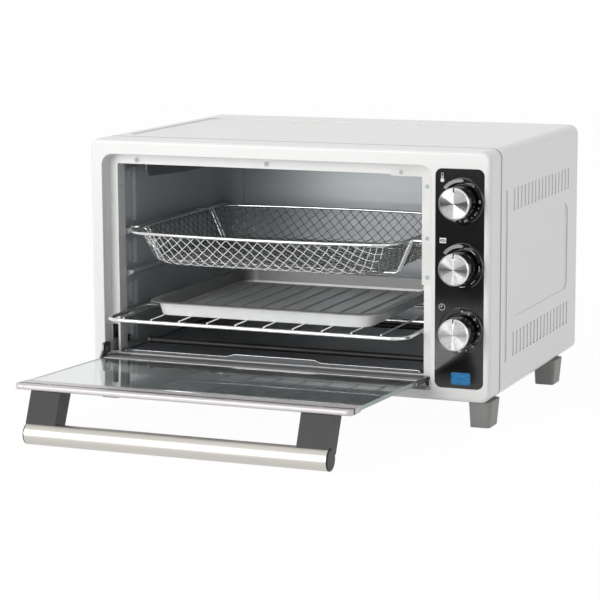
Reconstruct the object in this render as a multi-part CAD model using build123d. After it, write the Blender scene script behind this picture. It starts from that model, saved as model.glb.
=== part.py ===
from build123d import *
import os
from math import sin, cos, tan, radians, pi, hypot

os.makedirs("parts", exist_ok=True)

# Driving dimensions in mm. X to the right, Y into the oven, Z up from the counter.
# y = 0 is the front plane of the bezel while the pieces are made. The whole oven is
# moved along Y just before writing, so that its bounding box is centred on the frame.
body_w = 450.0
body_h = 257.4
body_depth = 328.0
foot_h = 27.5
sheet = 1.2
bezel_depth = 33.5
corner_r = 10.0
flange_y = 17.0
cav_sheet = 1.0
guide_out = 10.5
door_open = 87.76
door_in = 5.6
door_thick = 4.8
handle_r = 11.0
basket_bow = 13.5
basket_tall = 34.3
spacer = 12.0
knob_share = {"temperature": 0.855, "function": 0.5599, "timer": 0.2666}
guide_share = (0.2002, 0.4185, 0.6372)

# Housing, door recess and oven mouth in the bezel
half_w = body_w / 2
body_top = foot_h + body_h
recess_x0, recess_x1 = -half_w + 14.3, half_w - 63.0
recess_z0, recess_z1 = foot_h + 10.5, body_top - 16.1
mouth_x0, mouth_x1 = recess_x0 + 10.2, recess_x1 - 13.2
mouth_z0, mouth_z1 = recess_z0 + 12.2, recess_z1 - 11.4

# Oven cavity, a little wider and taller than the mouth
cav_x0, cav_x1 = mouth_x0 - 3.0, mouth_x1 + 3.0
cav_xc, cav_half = (cav_x0 + cav_x1) / 2, (cav_x1 - cav_x0) / 2
cav_y0, cav_y1 = flange_y + sheet, body_depth - 25.0
cav_z0, cav_z1 = mouth_z0, mouth_z1 + 3.1
guide_tops = [cav_z0 + share * (cav_z1 - cav_z0) for share in guide_share]

# Control panel, dials and lamp
panel_x0, panel_x1 = half_w - 58.6, half_w - 6.5
panel_z0, panel_z1 = foot_h + 14.1, body_top - 17.9
knob_x = panel_x1 - 23.6
knob_z = {name: round(panel_z0 + share * (panel_z1 - panel_z0), 1) for name, share in knob_share.items()}
lamp_z = panel_z0 + 10.4

# Door, hinged low in the recess; u runs up the shut door from the hinge
door_xc = (recess_x0 + recess_x1) / 2 - 0.65
door_w = recess_x1 - recess_x0 - 12.3
hinge_y, hinge_z = 10.4, recess_z0 + 6.2
door_u0, door_u1 = -3.2, recess_z1 - hinge_z - 2.8
rail_top_u = door_u1 - 27.0
rail_low_u = 28.5
handle_x0, handle_x1 = door_xc - door_w / 2 + 20.0, door_xc + door_w / 2 - 18.2
handle_y, handle_z = hinge_y - door_u1 - 7.6, hinge_z - 33.1

# Wire rack, pan, basket and crumb tray
rack_z = guide_tops[0] + 2.0
rack_half = cav_half - 7.35
rack_y0, rack_y1 = -29.0, cav_y1 - 55.0
pan_x0, pan_x1 = cav_xc + 0.1 - rack_half + 38.05, cav_xc + 0.1 + rack_half - 38.05
pan_y0, pan_y1 = rack_y0 + 16.0, rack_y1 - 3.0
pan_z0 = rack_z + 4.2
basket_z1 = guide_tops[2] + 3.1
basket_z0 = basket_z1 - basket_tall
basket_half = cav_half - 23.65
basket_y0, basket_y1 = -13.5, cav_y1 - 66.4
basket_yc = (basket_y0 + basket_y1) / 2
tray_z0 = cav_z0 + 0.3

y_low = handle_y - handle_r
y_high = body_depth + spacer
shift_y = -(y_low + y_high) / 2


def box(x0, x1, y0, y1, z0, z1):
    return Pos((x0 + x1) / 2, (y0 + y1) / 2, (z0 + z1) / 2) * Box(x1 - x0, y1 - y0, z1 - z0)


def slab_xz(x0, x1, z0, z1, r, y0, y1):
    at = Plane(origin=((x0 + x1) / 2, y0, (z0 + z1) / 2), x_dir=(1, 0, 0), z_dir=(0, 1, 0))
    return extrude(at * RectangleRounded(x1 - x0, z1 - z0, r), amount=y1 - y0)


def slab_xy(x0, x1, y0, y1, r, z0, z1):
    at = Plane(origin=((x0 + x1) / 2, (y0 + y1) / 2, z0), x_dir=(1, 0, 0), z_dir=(0, 0, 1))
    return extrude(at * RectangleRounded(x1 - x0, y1 - y0, r), amount=z1 - z0)


def slab_yz(y0, y1, z0, z1, r, x0, x1):
    at = Plane(origin=(x0, (y0 + y1) / 2, (z0 + z1) / 2), x_dir=(0, 1, 0), z_dir=(1, 0, 0))
    return extrude(at * RectangleRounded(y1 - y0, z1 - z0, r), amount=x1 - x0)


def rod(p0, p1, r):
    run = Vector(*p1) - Vector(*p0)
    return extrude(Plane(origin=p0, z_dir=run) * Circle(r), amount=run.length)


def disc_y(x, z, r, y0, y1):
    return rod((x, y0, z), (x, y1, z), r)


def disc_x(y, z, r, x0, x1):
    return rod((x0, y, z), (x1, y, z), r)


def poly_yz(points, x0, x1):
    at = Plane(origin=(x0, 0, 0), x_dir=(0, 1, 0), z_dir=(1, 0, 0))
    return extrude(at * make_face(Polyline(*points, close=True)), amount=x1 - x0)


def bent_rod(points, r, bend, close=False):
    path = FilletPolyline(*points, radius=bend, close=close)
    return sweep(Plane(origin=path @ 0, z_dir=path % 0) * Circle(r), path=path)


def edges_at(shape, axis, value, tol=0.01):
    picked = []
    for edge in shape.edges():
        centre = edge.center()
        if abs({"x": centre.X, "y": centre.Y, "z": centre.Z}[axis] - value) < tol:
            picked.append(edge)
    return picked


def swing(shape, angle=door_open):
    return shape.rotate(Axis((0, hinge_y, hinge_z), (1, 0, 0)), angle)


def save(name, shape):
    if isinstance(shape, (list, tuple)):
        shape = Compound(children=[s for one in shape for s in one.solids()])
    export_step(Pos(0, shift_y, 0) * shape, f"parts/{name}.step")


# Front bezel: a drawn steel front with the door recess, the mouth and the dial pocket
bezel = slab_xz(-half_w, half_w, foot_h, body_top, corner_r, 0, bezel_depth)
bezel = fillet(edges_at(bezel, "y", 0), 4.0)
inner = slab_xz(
    -half_w + sheet, half_w - sheet, foot_h + sheet, body_top - sheet, corner_r - sheet,
    sheet, bezel_depth + 1,
)
inner = fillet(edges_at(inner, "y", sheet), 3.0)
bezel = bezel - inner


def recess(grow, y0, y1):
    x0, x1, z0 = recess_x0 - grow, recess_x1 + grow, recess_z0 - grow
    upper = slab_xz(x0, x1, z0, recess_z1 + grow, 12.0 + grow, y0, y1)
    return upper + slab_xz(x0, x1, z0, z0 + 60, 0.3 + grow, y0, y1)


bezel = bezel + recess(sheet, 0.6, flange_y + sheet)
bezel = bezel - recess(0, -1, flange_y)
bezel = fillet([e for e in edges_at(bezel, "y", 0) if recess_x0 - 1 < e.center().X < recess_x1 + 1
                and recess_z0 - 1 < e.center().Z < recess_z1 + 1], 1.0)
bezel = bezel - slab_xz(mouth_x0, mouth_x1, mouth_z0, mouth_z1, 1.2, flange_y - 1, flange_y + 3)
slot_z0, slot_z1 = hinge_z + 7.8, hinge_z + 37.3
bezel = bezel - slab_xz(recess_x0 + 0.9, recess_x0 + 7.8, slot_z0, slot_z1, 1.0, flange_y - 1, flange_y + 3)
bezel = bezel - slab_xz(panel_x0, panel_x1, panel_z0, panel_z1, 7.2, -1, 3)
save("front_bezel", bezel)

# Glossy control panel set in the bezel, with three shaft holes and the lamp window
panel = slab_xz(panel_x0 + 0.15, panel_x1 - 0.15, panel_z0 + 0.15, panel_z1 - 0.15, 7.1,
                -0.6, 1.2)
panel = chamfer(edges_at(panel, "y", -0.6), 0.3)
for z in knob_z.values():
    panel = panel - disc_y(knob_x, z, 6.0, -2, 4)
lamp_x0, lamp_x1 = knob_x - 10.2, knob_x + 10.2
panel = panel - slab_xz(lamp_x0, lamp_x1, lamp_z - 6.1, lamp_z + 6.1, 1.6, -2, 4)
save("control_panel", panel)

# Steel plate behind the panel that carries the switches
carrier = box(panel_x0 - 2.2, panel_x1 + 1.9, 1.3, 2.5, panel_z0 + 0.9, panel_z1)
for z in knob_z.values():
    carrier = carrier - disc_y(knob_x, z, 5.0, 0, 4)
carrier = carrier - box(lamp_x0 + 1, lamp_x1 - 1, 0, 4, lamp_z - 5, lamp_z + 5)
save("control_carrier", carrier)

# Pilot lamp: bright frame, blue lens and the holder behind it
frame_out = slab_xz(lamp_x0, lamp_x1, lamp_z - 6.1, lamp_z + 6.1, 1.6, -1.4, 1.2)
frame_in = box(lamp_x0 + 1.1, lamp_x1 - 1.1, -2, 2, lamp_z - 5.0, lamp_z + 5.0)
save("lamp_frame", frame_out - frame_in)
lens = box(lamp_x0 + 1.1, lamp_x1 - 1.1, -1.0, 1.2, lamp_z - 5.0, lamp_z + 5.0)
facets = loft(Sketch() + [
    Plane(origin=(knob_x, -1.0, lamp_z), x_dir=(1, 0, 0), z_dir=(0, -1, 0)) * Rectangle(18.2, 10.0),
    Plane(origin=(knob_x, -2.6, lamp_z), x_dir=(1, 0, 0), z_dir=(0, -1, 0)) * Rectangle(11.0, 4.4),
])
save("lamp_lens", lens + facets)
holder = box(knob_x - 9, knob_x + 9, 1.3, 19, lamp_z - 4.8, lamp_z + 4.8)
holder = holder - box(knob_x - 7.5, knob_x + 7.5, 1.2, 17, lamp_z - 3.6, lamp_z + 3.6)
save("lamp_holder", holder)

# Dials: a fixed ring, the turning knob with its cap, and the switch behind
rings = []
for name, z in knob_z.items():
    ring = disc_y(knob_x, z, 23.7, -3.4, -0.6) - disc_y(knob_x, z, 17.8, -4, 0)
    ring = chamfer(edges_at(ring, "y", -3.4), 1.0)
    rings.append(ring)
    facing = (0, -1, 0)
    knob = loft(Sketch() + [
        Plane(origin=(knob_x, -1.2, z), x_dir=(1, 0, 0), z_dir=facing) * Circle(17.0),
        Plane(origin=(knob_x, -24.8, z), x_dir=(1, 0, 0), z_dir=facing) * Circle(16.25),
    ])
    knob = knob - disc_y(knob_x, z, 14.4, -21.6, 0)
    knob = knob + (disc_y(knob_x, z, 5.6, -22, -1.4) - disc_y(knob_x, z, 3.03, -18, 0))
    save(f"{name}_knob", knob)
    cap = disc_y(knob_x, z, 16.25, -28.0, -24.8)
    cap = chamfer(edges_at(cap, "y", -28.0), 1.5)
    cap = cap - box(knob_x - 0.7, knob_x + 0.7, -30, -27.2, z + 11.6, z + 19)
    save(f"{name}_knob_cap", cap)
    shaft = disc_y(knob_x, z, 3.0, -18, 20)
    save(f"{name}_shaft", shaft)

save("dial_rings", rings)
bore = 3.05
z = knob_z["temperature"]
thermostat = box(knob_x - 14, knob_x + 14, 2.5, 26, z - 17, z + 17)
thermostat = thermostat + box(knob_x - 8, knob_x + 8, 26, 34, z - 10, z + 10)
thermostat = thermostat - disc_y(knob_x, z, bore, 0, 22)
save("thermostat_body", thermostat)
z = knob_z["function"]
selector = disc_y(knob_x, z, 19, 2.5, 24) + box(knob_x - 15, knob_x + 15, 24, 33, z - 11, z + 11)
selector = selector - disc_y(knob_x, z, bore, 0, 22)
save("function_switch_body", selector)
z = knob_z["timer"]
clockwork = box(knob_x - 22, knob_x + 22, 2.5, 34, z - 20, z + 20)
bell = disc_y(knob_x, z, 17, 35.5, 43) - disc_y(knob_x, z, 15.5, 35, 41.5)
clockwork = clockwork + bell + disc_y(knob_x, z, 2.5, 34, 43)
clockwork = clockwork - disc_y(knob_x, z, bore, 0, 22)
save("timer_body", clockwork)

# Housing: one sheet bent over the top and down both sides, pressed and slotted
wrap_y0, wrap_y1 = bezel_depth + 0.3, body_depth - 1.5
outer = slab_xz(-half_w, half_w, foot_h, body_top, corner_r, wrap_y0, wrap_y1)
core = slab_xz(-half_w + sheet, half_w - sheet, foot_h + sheet, body_top - sheet,
               corner_r - sheet, wrap_y0 - 1, wrap_y1 + 1)
wrap = outer - core - box(-half_w + 17, half_w - 17, wrap_y0 - 1, wrap_y1 + 1, foot_h - 1, foot_h + 2)
press = 1.0
top_x0, top_x1, top_y0, top_y1 = -half_w + 17, half_w - 89, 52, body_depth - 44
pads = [slab_xy(top_x0, top_x1, top_y0, top_y1, 16, body_top - sheet - press, body_top - sheet)]
cuts = [slab_xy(top_x0 + 1.5, top_x1 - 1.5, top_y0 + 1.5, top_y1 - 1.5, 14.5, body_top - press, body_top + 1)]
side_y1 = body_depth - 38
side_z0, side_z1 = foot_h + 75, body_top - 81.9
groove_z0, groove_z1 = foot_h + 31.5, body_top - 42.9
louvre_pitch = (body_depth - 121.6) / 16
for side in (-1, 1):
    def at_side(depth0, depth1):
        return sorted((side * (half_w - depth0), side * (half_w - depth1)))
    a, b = at_side(sheet, sheet + press)
    pads.append(slab_yz(76.7, side_y1, side_z0, side_z1, 14, a, b))
    pads.append(slab_yz(49, 60, groove_z0, groove_z1, 5.4, a, b))
    a, b = at_side(press, -1)
    cuts.append(slab_yz(78.2, side_y1 - 1.5, side_z0 + 1.5, side_z1 - 1.5, 12.5, a, b))
    cuts.append(slab_yz(50.5, 58.5, groove_z0 + 1.5, groove_z1 - 1.5, 3.9, a, b))
    a, b = at_side(-1, 4)
    for i in range(17):
        y = 81.7 + louvre_pitch * i
        cuts.append(box(a, b, y - 2.4, y + 2.4, body_top - 68.5, body_top - 44.9))
        cuts.append(box(a, b, y - 2.4, y + 2.4, foot_h + 36, foot_h + 61))
wrap = wrap + pads - cuts
save("housing_wrap", wrap)

# Base plate with turned-up edges, and the back panel with its vents
base_y1 = body_depth - 2
vent_pitch = body_w * 0.0489
base = box(-half_w + 11, half_w - 11, bezel_depth + 0.5, base_y1, foot_h + 1.25, foot_h + 2.45)
for side in (-1, 1):
    x0, x1 = sorted((side * (half_w - 11), side * (half_w - 12.2)))
    base = base + box(x0, x1, bezel_depth + 0.5, base_y1, foot_h + 2.45, foot_h + 9)
vents = []
for i in range(7):
    x = -6.82 * vent_pitch + 2 * vent_pitch * i
    for y in (body_depth / 2 - 14, body_depth / 2 + 6):
        vents.append(slab_xy(x, x + 1.09 * vent_pitch, y, y + 4, 1.9, foot_h, foot_h + 4))
base = base - vents
save("base_plate", base)
back_y0 = body_depth - sheet
back = slab_xz(-half_w + 1.5, half_w - 1.5, foot_h + 1.5, body_top - 1.5, 8.6, back_y0, body_depth)
gland_x, gland_z = half_w - 39, foot_h + 34.5
vents = [disc_y(gland_x, gland_z, 8.0, back_y0 - 5, body_depth + 5)]
for i in range(14):
    x = -6.82 * vent_pitch + vent_pitch * i
    for z in (body_top - 52.9, body_top - 66.9):
        vents.append(box(x, x + 0.636 * vent_pitch, back_y0 - 1, body_depth + 1, z, z + 4))
back = back - vents
save("back_panel", back)
gland = disc_y(gland_x, gland_z, 11, body_depth, body_depth + 3)
gland = gland + disc_y(gland_x, gland_z, 7.9, body_depth - 6, body_depth)
gland = gland + disc_y(gland_x, gland_z, 10.5, body_depth - 6, back_y0)
gland = fillet(edges_at(gland, "y", body_depth + 3), 1.2)
gland = gland - disc_y(gland_x, gland_z, 3.6, body_depth - 4, body_depth + 12)
save("cord_gland", gland)
posts = []
for side in (-1, 1):
    x = side * (half_w - 75)
    post = slab_xz(x - 14, x + 14, body_top - 104.9, body_top - 76.9, 4, body_depth, body_depth + spacer)
    post = fillet(edges_at(post, "y", body_depth + spacer), 2.0)
    posts.append(post)
save("wall_spacers", posts)

# Cavity: separate coated sheets, with beads and shelf guides pressed into the sides
band = slab_xz(mouth_x0 - 4, mouth_x1 + 4, mouth_z0 - 4, mouth_z1 + 3, 6, cav_y0, cav_y0 + 0.9)
band = band + slab_xz(mouth_x0 - 1.4, mouth_x1 + 1.4, mouth_z0 - 1.0, mouth_z1 + 1.4, 2.4, cav_y0, 34)
band = band - slab_xz(mouth_x0, mouth_x1, mouth_z0, mouth_z1, 1.2, cav_y0 - 1, 35)
band = band - box(mouth_x0 - 6, mouth_x0 - 1.8, cav_y0 - 1, cav_y0 + 1.1, slot_z0 - 1, slot_z1 + 1)
band = band - box(mouth_x0 - 6, mouth_x1 + 6, cav_y0 + 0.9, 40, mouth_z0 - 6, mouth_z0 + 3)
for x in (mouth_x0, mouth_x1):
    for z, r in ((mouth_z1 - 18, 1.2), (mouth_z1 - 26, 1.6)):
        band = band - disc_x(26.5, z, r, x - 2, x + 2)
save("cavity_front_band", band)


def side_wall(side):
    x_in = cav_xc + side * cav_half
    x_out = x_in + side * cav_sheet
    a, b = sorted((x_in, x_out))
    wall = box(a, b, 34.3, cav_y1, cav_z0 - cav_sheet, cav_z1)
    for top in guide_tops:
        reach = x_in - side * guide_out
        tip = [(x_in, top), (reach, top), (reach, top - 2.5), (x_in, top - 9.0)]
        at = Plane(origin=(0, 36, 0), x_dir=(1, 0, 0), z_dir=(0, -1, 0))
        rib = extrude(at * make_face(Polyline(*tip, close=True)), amount=-(cav_y1 - 9 - 36))
        wall = wall + rib
    lows = [cav_z0 + 7.8] + [t + 6 for t in guide_tops]
    highs = [t - 13 for t in guide_tops] + [cav_z1 - 10.5]
    for low, high in zip(lows, highs):
        x0, x1 = sorted((x_in, x_in - side * 3.2))
        bead = slab_yz(47.5, 63.5, low, high, 6.5, x0, x1)
        wall = wall + bead
    return wall


save("cavity_left_wall", side_wall(-1))
right_wall = side_wall(1)
fan_y, fan_z = (cav_y0 + cav_y1) / 2 + 4.4, round(cav_z0 + 0.4175 * (cav_z1 - cav_z0), 1)
slots = []
for i in range(9):
    y = fan_y - 40 + 10 * i
    slots.append(box(cav_x1 - 1, cav_x1 + 3, y - 2.5, y + 2.5, guide_tops[0] + 5.7, guide_tops[1] - 12.2))
    slots.append(box(cav_x1 - 1, cav_x1 + 3, y - 2.5, y + 2.5, guide_tops[1] + 5.8, guide_tops[2] - 12.2))
low_z, high_z = cav_z0 + 11.6, cav_z1 - 9.1
heaters = {"lower_front": (40.0, low_z), "lower_rear": (cav_y1 - 88.0, low_z),
           "upper_front": (100.0, high_z), "upper_rear": (cav_y1 - 103.0, high_z)}
for y, z in heaters.values():
    slots.append(disc_x(y, z, 5.2, cav_x1 - 1, cav_x1 + 3))
save("cavity_right_wall", right_wall - slots)

ceiling = box(cav_x0, cav_x1, 34.3, cav_y1, cav_z1 - cav_sheet, cav_z1)
for x in (cav_xc - 0.62 * cav_half, cav_xc + 0.62 * cav_half):
    ceiling = ceiling + slab_xy(x - 7, x + 7, 60, cav_y1 - 23, 6, cav_z1 - cav_sheet - 2, cav_z1 - cav_sheet)
save("cavity_ceiling", ceiling)
floor = box(cav_x0, cav_x1, cav_y0 + 1.0, cav_y1, cav_z0 - cav_sheet, cav_z0)
save("cavity_floor", floor)
rear = box(cav_x0 - cav_sheet, cav_x1 + cav_sheet, cav_y1, cav_y1 + cav_sheet, cav_z0 - cav_sheet, cav_z1)
for x in (cav_x0 + 20, cav_x1 - 20):
    rear = rear + slab_xz(x - 7, x + 7, cav_z0 + 11.8, cav_z1 - 8.5, 6, cav_y1 - 2.4, cav_y1)
pad = 0.675 * cav_half
rear = rear + slab_xz(cav_xc - pad, cav_xc + pad, cav_z1 - 64.5, cav_z1 - 14.5, 12, cav_y1 - 1.6, cav_y1)
save("cavity_rear_wall", rear)

# Heaters: sheathed tubes that enter from the control side, with their holders
for place in ("lower", "upper"):
    tubes = [disc_x(*heaters[f"{place}_{end}"], 3.2, cav_x0 + 26, cav_x1 + 4.5) for end in ("front", "rear")]
    save(f"{place}_heaters", tubes)
cheeks = []
clips = []
roof = cav_z1 - cav_sheet
plate_y1 = cav_y1 - 69.0
for side, y_front, y_low_end in ((-1, 34.4, 41.0), (1, 95.0, 97.5)):
    x = cav_xc + side * 0.8365 * cav_half
    low = roof - 17.5 if side < 0 else roof - 20.5
    plate = poly_yz([(y_front, roof), (y_front, roof - 10.5), (y_low_end, low), (130, roof - 22),
                     (plate_y1 - 10, roof - 22), (plate_y1, roof - 11), (plate_y1, roof)], x - 0.5, x + 0.5)
    for key in ("upper_front", "upper_rear"):
        y, z = heaters[key]
        plate = plate - disc_x(y, z, 3.25, x - 2, x + 2)
    x0, x1 = sorted((x, x - side * 12))
    plate = plate + box(x0, x1, y_front, plate_y1 - 2, roof - 1, roof)
    cheeks.append(plate)
    for key in ("lower_front", "lower_rear"):
        y, z = heaters[key]
        if side < 0:
            arm = box(cav_x0, cav_x0 + 1, y - 4.4, y + 4.4, z - 3.4, z + 4.4)
            arm = arm + box(cav_x0, cav_x0 + 29, y - 1.2, y + 1.2, z - 3.4, z - 2.4)
            cuff = disc_x(y, z, 4.4, cav_x0 + 27, cav_x0 + 29.5)
            cuff = cuff - box(cav_x0, cav_x0 + 40, y - 9, y + 9, z - 9, z - 3.4)
            clips.append(arm + cuff - disc_x(y, z, 3.22, cav_x0 + 1, cav_x0 + 40))
        else:
            collar = slab_yz(y - 5.6, y + 5.6, z - 3.4, z + 6, 2.0, cav_x1 - 4, cav_x1)
            clips.append(collar - disc_x(y, z, 3.25, cav_x1 - 12, cav_x1 + 8))
save("upper_heater_cheeks", cheeks)
save("lower_heater_holders", clips)
ends = []
for y, z in heaters.values():
    ends.append(disc_x(y, z, 4.5, cav_x1, cav_x1 + 4) - disc_x(y, z, 3.25, cav_x1 - 12, cav_x1 + 18))
save("heater_insulators", ends)

# Convection fan in its can outside the right wall
can_x0, can_x1 = cav_x1 + cav_sheet, cav_x1 + 24
can = disc_x(fan_y, fan_z, 52, can_x0, can_x1) - disc_x(fan_y, fan_z, 50.8, can_x0 - 1, can_x1 - 1.2)
can = can - disc_x(fan_y, fan_z, 4.0, can_x0, can_x1 + 2)
save("fan_can", can)
rotor = disc_x(fan_y, fan_z, 40, can_x0 + 16, can_x0 + 17) + disc_x(fan_y, fan_z, 8, can_x0 + 8, can_x0 + 19)
for i in range(8):
    blade = box(can_x0 + 4, can_x0 + 16, fan_y + 12, fan_y + 39.5, fan_z - 0.6, fan_z + 0.6)
    rotor = rotor + blade.rotate(Axis((0, fan_y, fan_z), (1, 0, 0)), 45 * i + 8)
rotor = rotor + disc_x(fan_y, fan_z, 2.5, can_x0 + 8, can_x1 + 20)
save("fan_rotor", rotor)
motor = disc_x(fan_y, fan_z, 24, can_x1 + 2, can_x1 + 30)
motor = motor + box(can_x1, can_x1 + 2, fan_y - 30, fan_y + 30, fan_z - 12, fan_z + 12)
motor = motor - disc_x(fan_y, fan_z, 2.55, can_x1 - 1, can_x1 + 22)
save("fan_motor", motor)

# Feet: tapered mouldings under the base
for y_mid, where in ((bezel_depth - 9.0, "front"), (body_depth - 67.5, "rear")):
    feet = []
    for side in (-1, 1):
        x = side * (half_w - 12.8)
        top = Plane(origin=(x, y_mid, foot_h)) * RectangleRounded(25, 34, 5)
        low = Plane(origin=(x - side * 0.6, y_mid + 0.4, 0)) * RectangleRounded(21.4, 29, 4)
        feet.append(loft(Sketch() + [top, low]))
    save(f"{where}_feet", feet)

# Flange trim: the pale strip round the upper right corner of the mouth, and the rivets
strip_y = flange_y - 0.65
strip = box(recess_x1 - 49, recess_x1 - 1.8, strip_y, flange_y, mouth_z1 - 1.8, mouth_z1 + 5)
strip = strip + box(recess_x1 - 15.4, recess_x1 - 5.5, strip_y, flange_y, mouth_z1 - 113.4, mouth_z1 + 5)
save("mouth_corner_strip", strip)
rivets = []
for x, z in ((recess_x0 + 33.6, mouth_z1 + 4.2), (door_xc - 1.0, mouth_z1 + 5.0)):
    rivets.append(disc_y(x, z, 2.6, flange_y - 0.7, flange_y))
for dx, dz in ((-38.0, 2.0), (-9.8, -11.7), (-9.6, -65.2), (-9.4, -105.6)):
    rivets.append(disc_y(recess_x1 + dx, mouth_z1 + dz, 2.2, strip_y - 0.25, strip_y))
save("flange_rivets", rivets)

# Hinge brackets standing in the foot of the recess
ears = []
for side in (-1, 1):
    x_ear = door_xc + side * (door_w / 2 + 3.8)
    x0, x1 = sorted((x_ear, x_ear + side * 1.4))
    ear = box(x0, x1, 4.5, flange_y, recess_z0, hinge_z + 3.3)
    ear = ear + disc_x(hinge_y, hinge_z, 5.6, x0, x1)
    x2, x3 = sorted((x_ear + side * 1.4, x_ear - side * 3.2))
    ear = ear + box(x2, x3, 4.5, flange_y, recess_z0, recess_z0 + 1.2)
    ear = ear - disc_x(hinge_y, hinge_z, 2.05, x0 - 5, x1 + 5)
    ears.append(ear)
save("hinge_brackets", ears)

# Door, modelled shut and swung open at the end
dx0, dx1 = door_xc - door_w / 2, door_xc + door_w / 2
y_in = hinge_y + door_in
y_out = y_in - door_thick
z_low, z_high = hinge_z + door_u0, hinge_z + door_u1


nose, nose_r, rail_drop = 3.6, 2.2, 0.9
top_rail = slab_xz(dx0, dx1, hinge_z + rail_top_u - 20, z_high, 5.0, y_out - rail_drop, y_in)
top_rail = top_rail - box(dx0 - 1, dx1 + 1, 0, 30, hinge_z + rail_top_u - 30, hinge_z + rail_top_u)
top_rail = top_rail - box(dx0 + 1, dx1 - 1, y_out + 0.5, y_in - 0.5, hinge_z + rail_top_u - 1, z_high - nose)
for y_far, y_mid in ((y_in + 1, y_in - nose_r), (y_out - 2, y_out - rail_drop + nose_r)):
    corner = box(dx0 - 1, dx1 + 1, min(y_far, y_mid), max(y_far, y_mid), z_high - nose_r, z_high + 1)
    top_rail = top_rail - (corner - disc_x(y_mid, z_high - nose_r, nose_r, dx0 - 2, dx1 + 2))
top_rail = top_rail - box(dx0 - 1, dx1 + 1, y_in - 0.4, y_in + 1, z_high - 3.4, z_high - 2.7)
for x in (dx0 + 11, dx1 - 11):
    top_rail = top_rail - box(x - 0.25, x + 0.25, y_out - 2, y_in + 1, z_high - 0.35, z_high + 1)
    top_rail = top_rail - box(x - 0.25, x + 0.25, y_in - 0.4, y_in + 1, z_high - 3.4, z_high + 1)
holes = []
panes = []
screws = []
screw_x = (handle_x0 + 14.7, handle_x1 - 16.5)
for x in screw_x:
    for z in (z_high - 19.25, z_high - 8.25):
        holes.extend([disc_y(x, z, 2.65, y_in - 0.6, y_in + 1), disc_y(x, z, 1.65, y_out - 2, y_out + 1)])
        panes.append(disc_y(x, z, 1.65, y_out, y_in))
        head = disc_y(x, z, 2.6, y_in - 0.5, y_in - 0.03)
        screws.append(swing(head + disc_y(x, z, 1.6, y_out - 7, y_in - 0.5)))
save("door_top_rail", swing(top_rail - holes))
save("handle_screws", screws)
low_rail = slab_xz(dx0, dx1, z_low, hinge_z + rail_low_u, 1.5, y_out, y_in)
low_rail = low_rail - box(dx0 + 1, dx1 - 1, y_out + 0.5, y_in - 0.5, z_low + 1, hinge_z + rail_low_u + 1)
low_rail = low_rail - box(dx0 - 1, dx1 + 1, y_in - 0.25, y_in + 1, hinge_z + 13.2, hinge_z + 13.8)
save("door_bottom_rail", swing(low_rail))
glass = slab_xz(dx0 + 1.05, dx1 - 1.05, z_low + 1.05, z_high - nose - 0.05, 3.0, y_out + 0.55, y_in - 0.55)
save("door_glass", swing(glass - panes))

# Hinge levers on the door ends and their pins. The left lever is a tall hook, and its link
# runs back through the slot in the recess; the right one is a low arm that only turns.
rivet_u, rivet_in = 17.4, 13.9
hook = [(-3.6, -3), (4.4, -3), (door_in, 4), (door_in, 17.2), (8.6, 15.8), (8.6, 9.2), (18.4, 9.2),
        (20.6, 11.6), (20.6, 22.6), (18.6, 25.6), (12.0, 26.6), (8.2, 28.6), (door_in, 31.5),
        (door_in - door_thick, 31.5), (door_in - door_thick, 8), (-3.6, 3)]
arm = [(-3.6, -3), (4.4, -3), (5.9, 2), (6.1, 8), (6.1, 31), (4.4, 38.5), (0.8, 39.5), (0.8, 8), (-3.6, 3)]
levers = []
pins = []
for side, shape in ((-1, hook), (1, arm)):
    x_face = door_xc + side * (door_w / 2)
    x0, x1 = sorted((x_face + side * 0.05, x_face + side * 2.05))
    lever = poly_yz([(hinge_y + y, hinge_z + z) for y, z in shape], x0, x1)
    lever = fillet(lever.edges().filter_by(Axis.X), 0.7)
    lever = lever - disc_x(hinge_y, hinge_z, 2.0, x0 - 1, x1 + 1)
    if side < 0:
        lever = lever - disc_x(hinge_y + rivet_in, hinge_z + rivet_u, 1.6, x0 - 1, x1 + 1)
    levers.append(swing(lever))
    p0, p1 = sorted((x_face + side * 0.05, x_face + side * 5.3))
    pins.append(swing(disc_x(hinge_y, hinge_z, 2.0, p0, p1)))
ry, rz = hinge_y + rivet_in, hinge_z + rivet_u
stud = disc_x(ry, rz, 1.6, dx0 - 4.2, dx0 + 0.6) + disc_x(ry, rz, 3.0, dx0 - 0.05, dx0 + 0.6)
pins.append(swing(stud))
save("hinge_levers", levers)
save("hinge_pins", pins)
open_rivet = swing(Pos(0, ry, rz) * Sphere(0.5)).center()
l0, l1 = dx0 - 3.85, dx0 - 2.35
link = slab_yz(open_rivet.Y - 6, open_rivet.Y + 50, open_rivet.Z - 5.6, open_rivet.Z + 5.6, 5.4, l0, l1)
link = link - disc_x(open_rivet.Y, open_rivet.Z, 1.65, l0 - 1, l1 + 1)
link = link - disc_x(open_rivet.Y + 44, open_rivet.Z, 1.8, l0 - 1, l1 + 1)
save("hinge_links", link)
print("rivet", round(open_rivet.Y + shift_y, 3), round(open_rivet.Z, 3))

# Handle: tube, end caps and two brackets that lean forward, made with the door open
cap_len = 1.6
tube = disc_x(handle_y, handle_z, handle_r, handle_x0, handle_x1)
tube = tube - disc_x(handle_y, handle_z, handle_r - 1.2, handle_x0 - 1, handle_x1 + 1)
save("handle_tube", tube)
caps = []
for side, x in ((-1, handle_x0), (1, handle_x1)):
    c0, c1 = sorted((x, x + side * cap_len))
    i0, i1 = sorted((x, x - side * 8))
    cap = fillet(edges_at(disc_x(handle_y, handle_z, handle_r, c0, c1), "x", x + side * cap_len), 1.2)
    cap = cap + disc_x(handle_y, handle_z, handle_r - 1.25, i0, i1)
    caps.append(cap)
save("handle_end_caps", caps)
slope = tan(radians(90 - door_open))
z_under = hinge_z + (door_in - door_thick - rail_drop) / cos(radians(90 - door_open))


def under_door(y):
    return z_under + (hinge_y - y) * slope - 0.05


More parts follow.
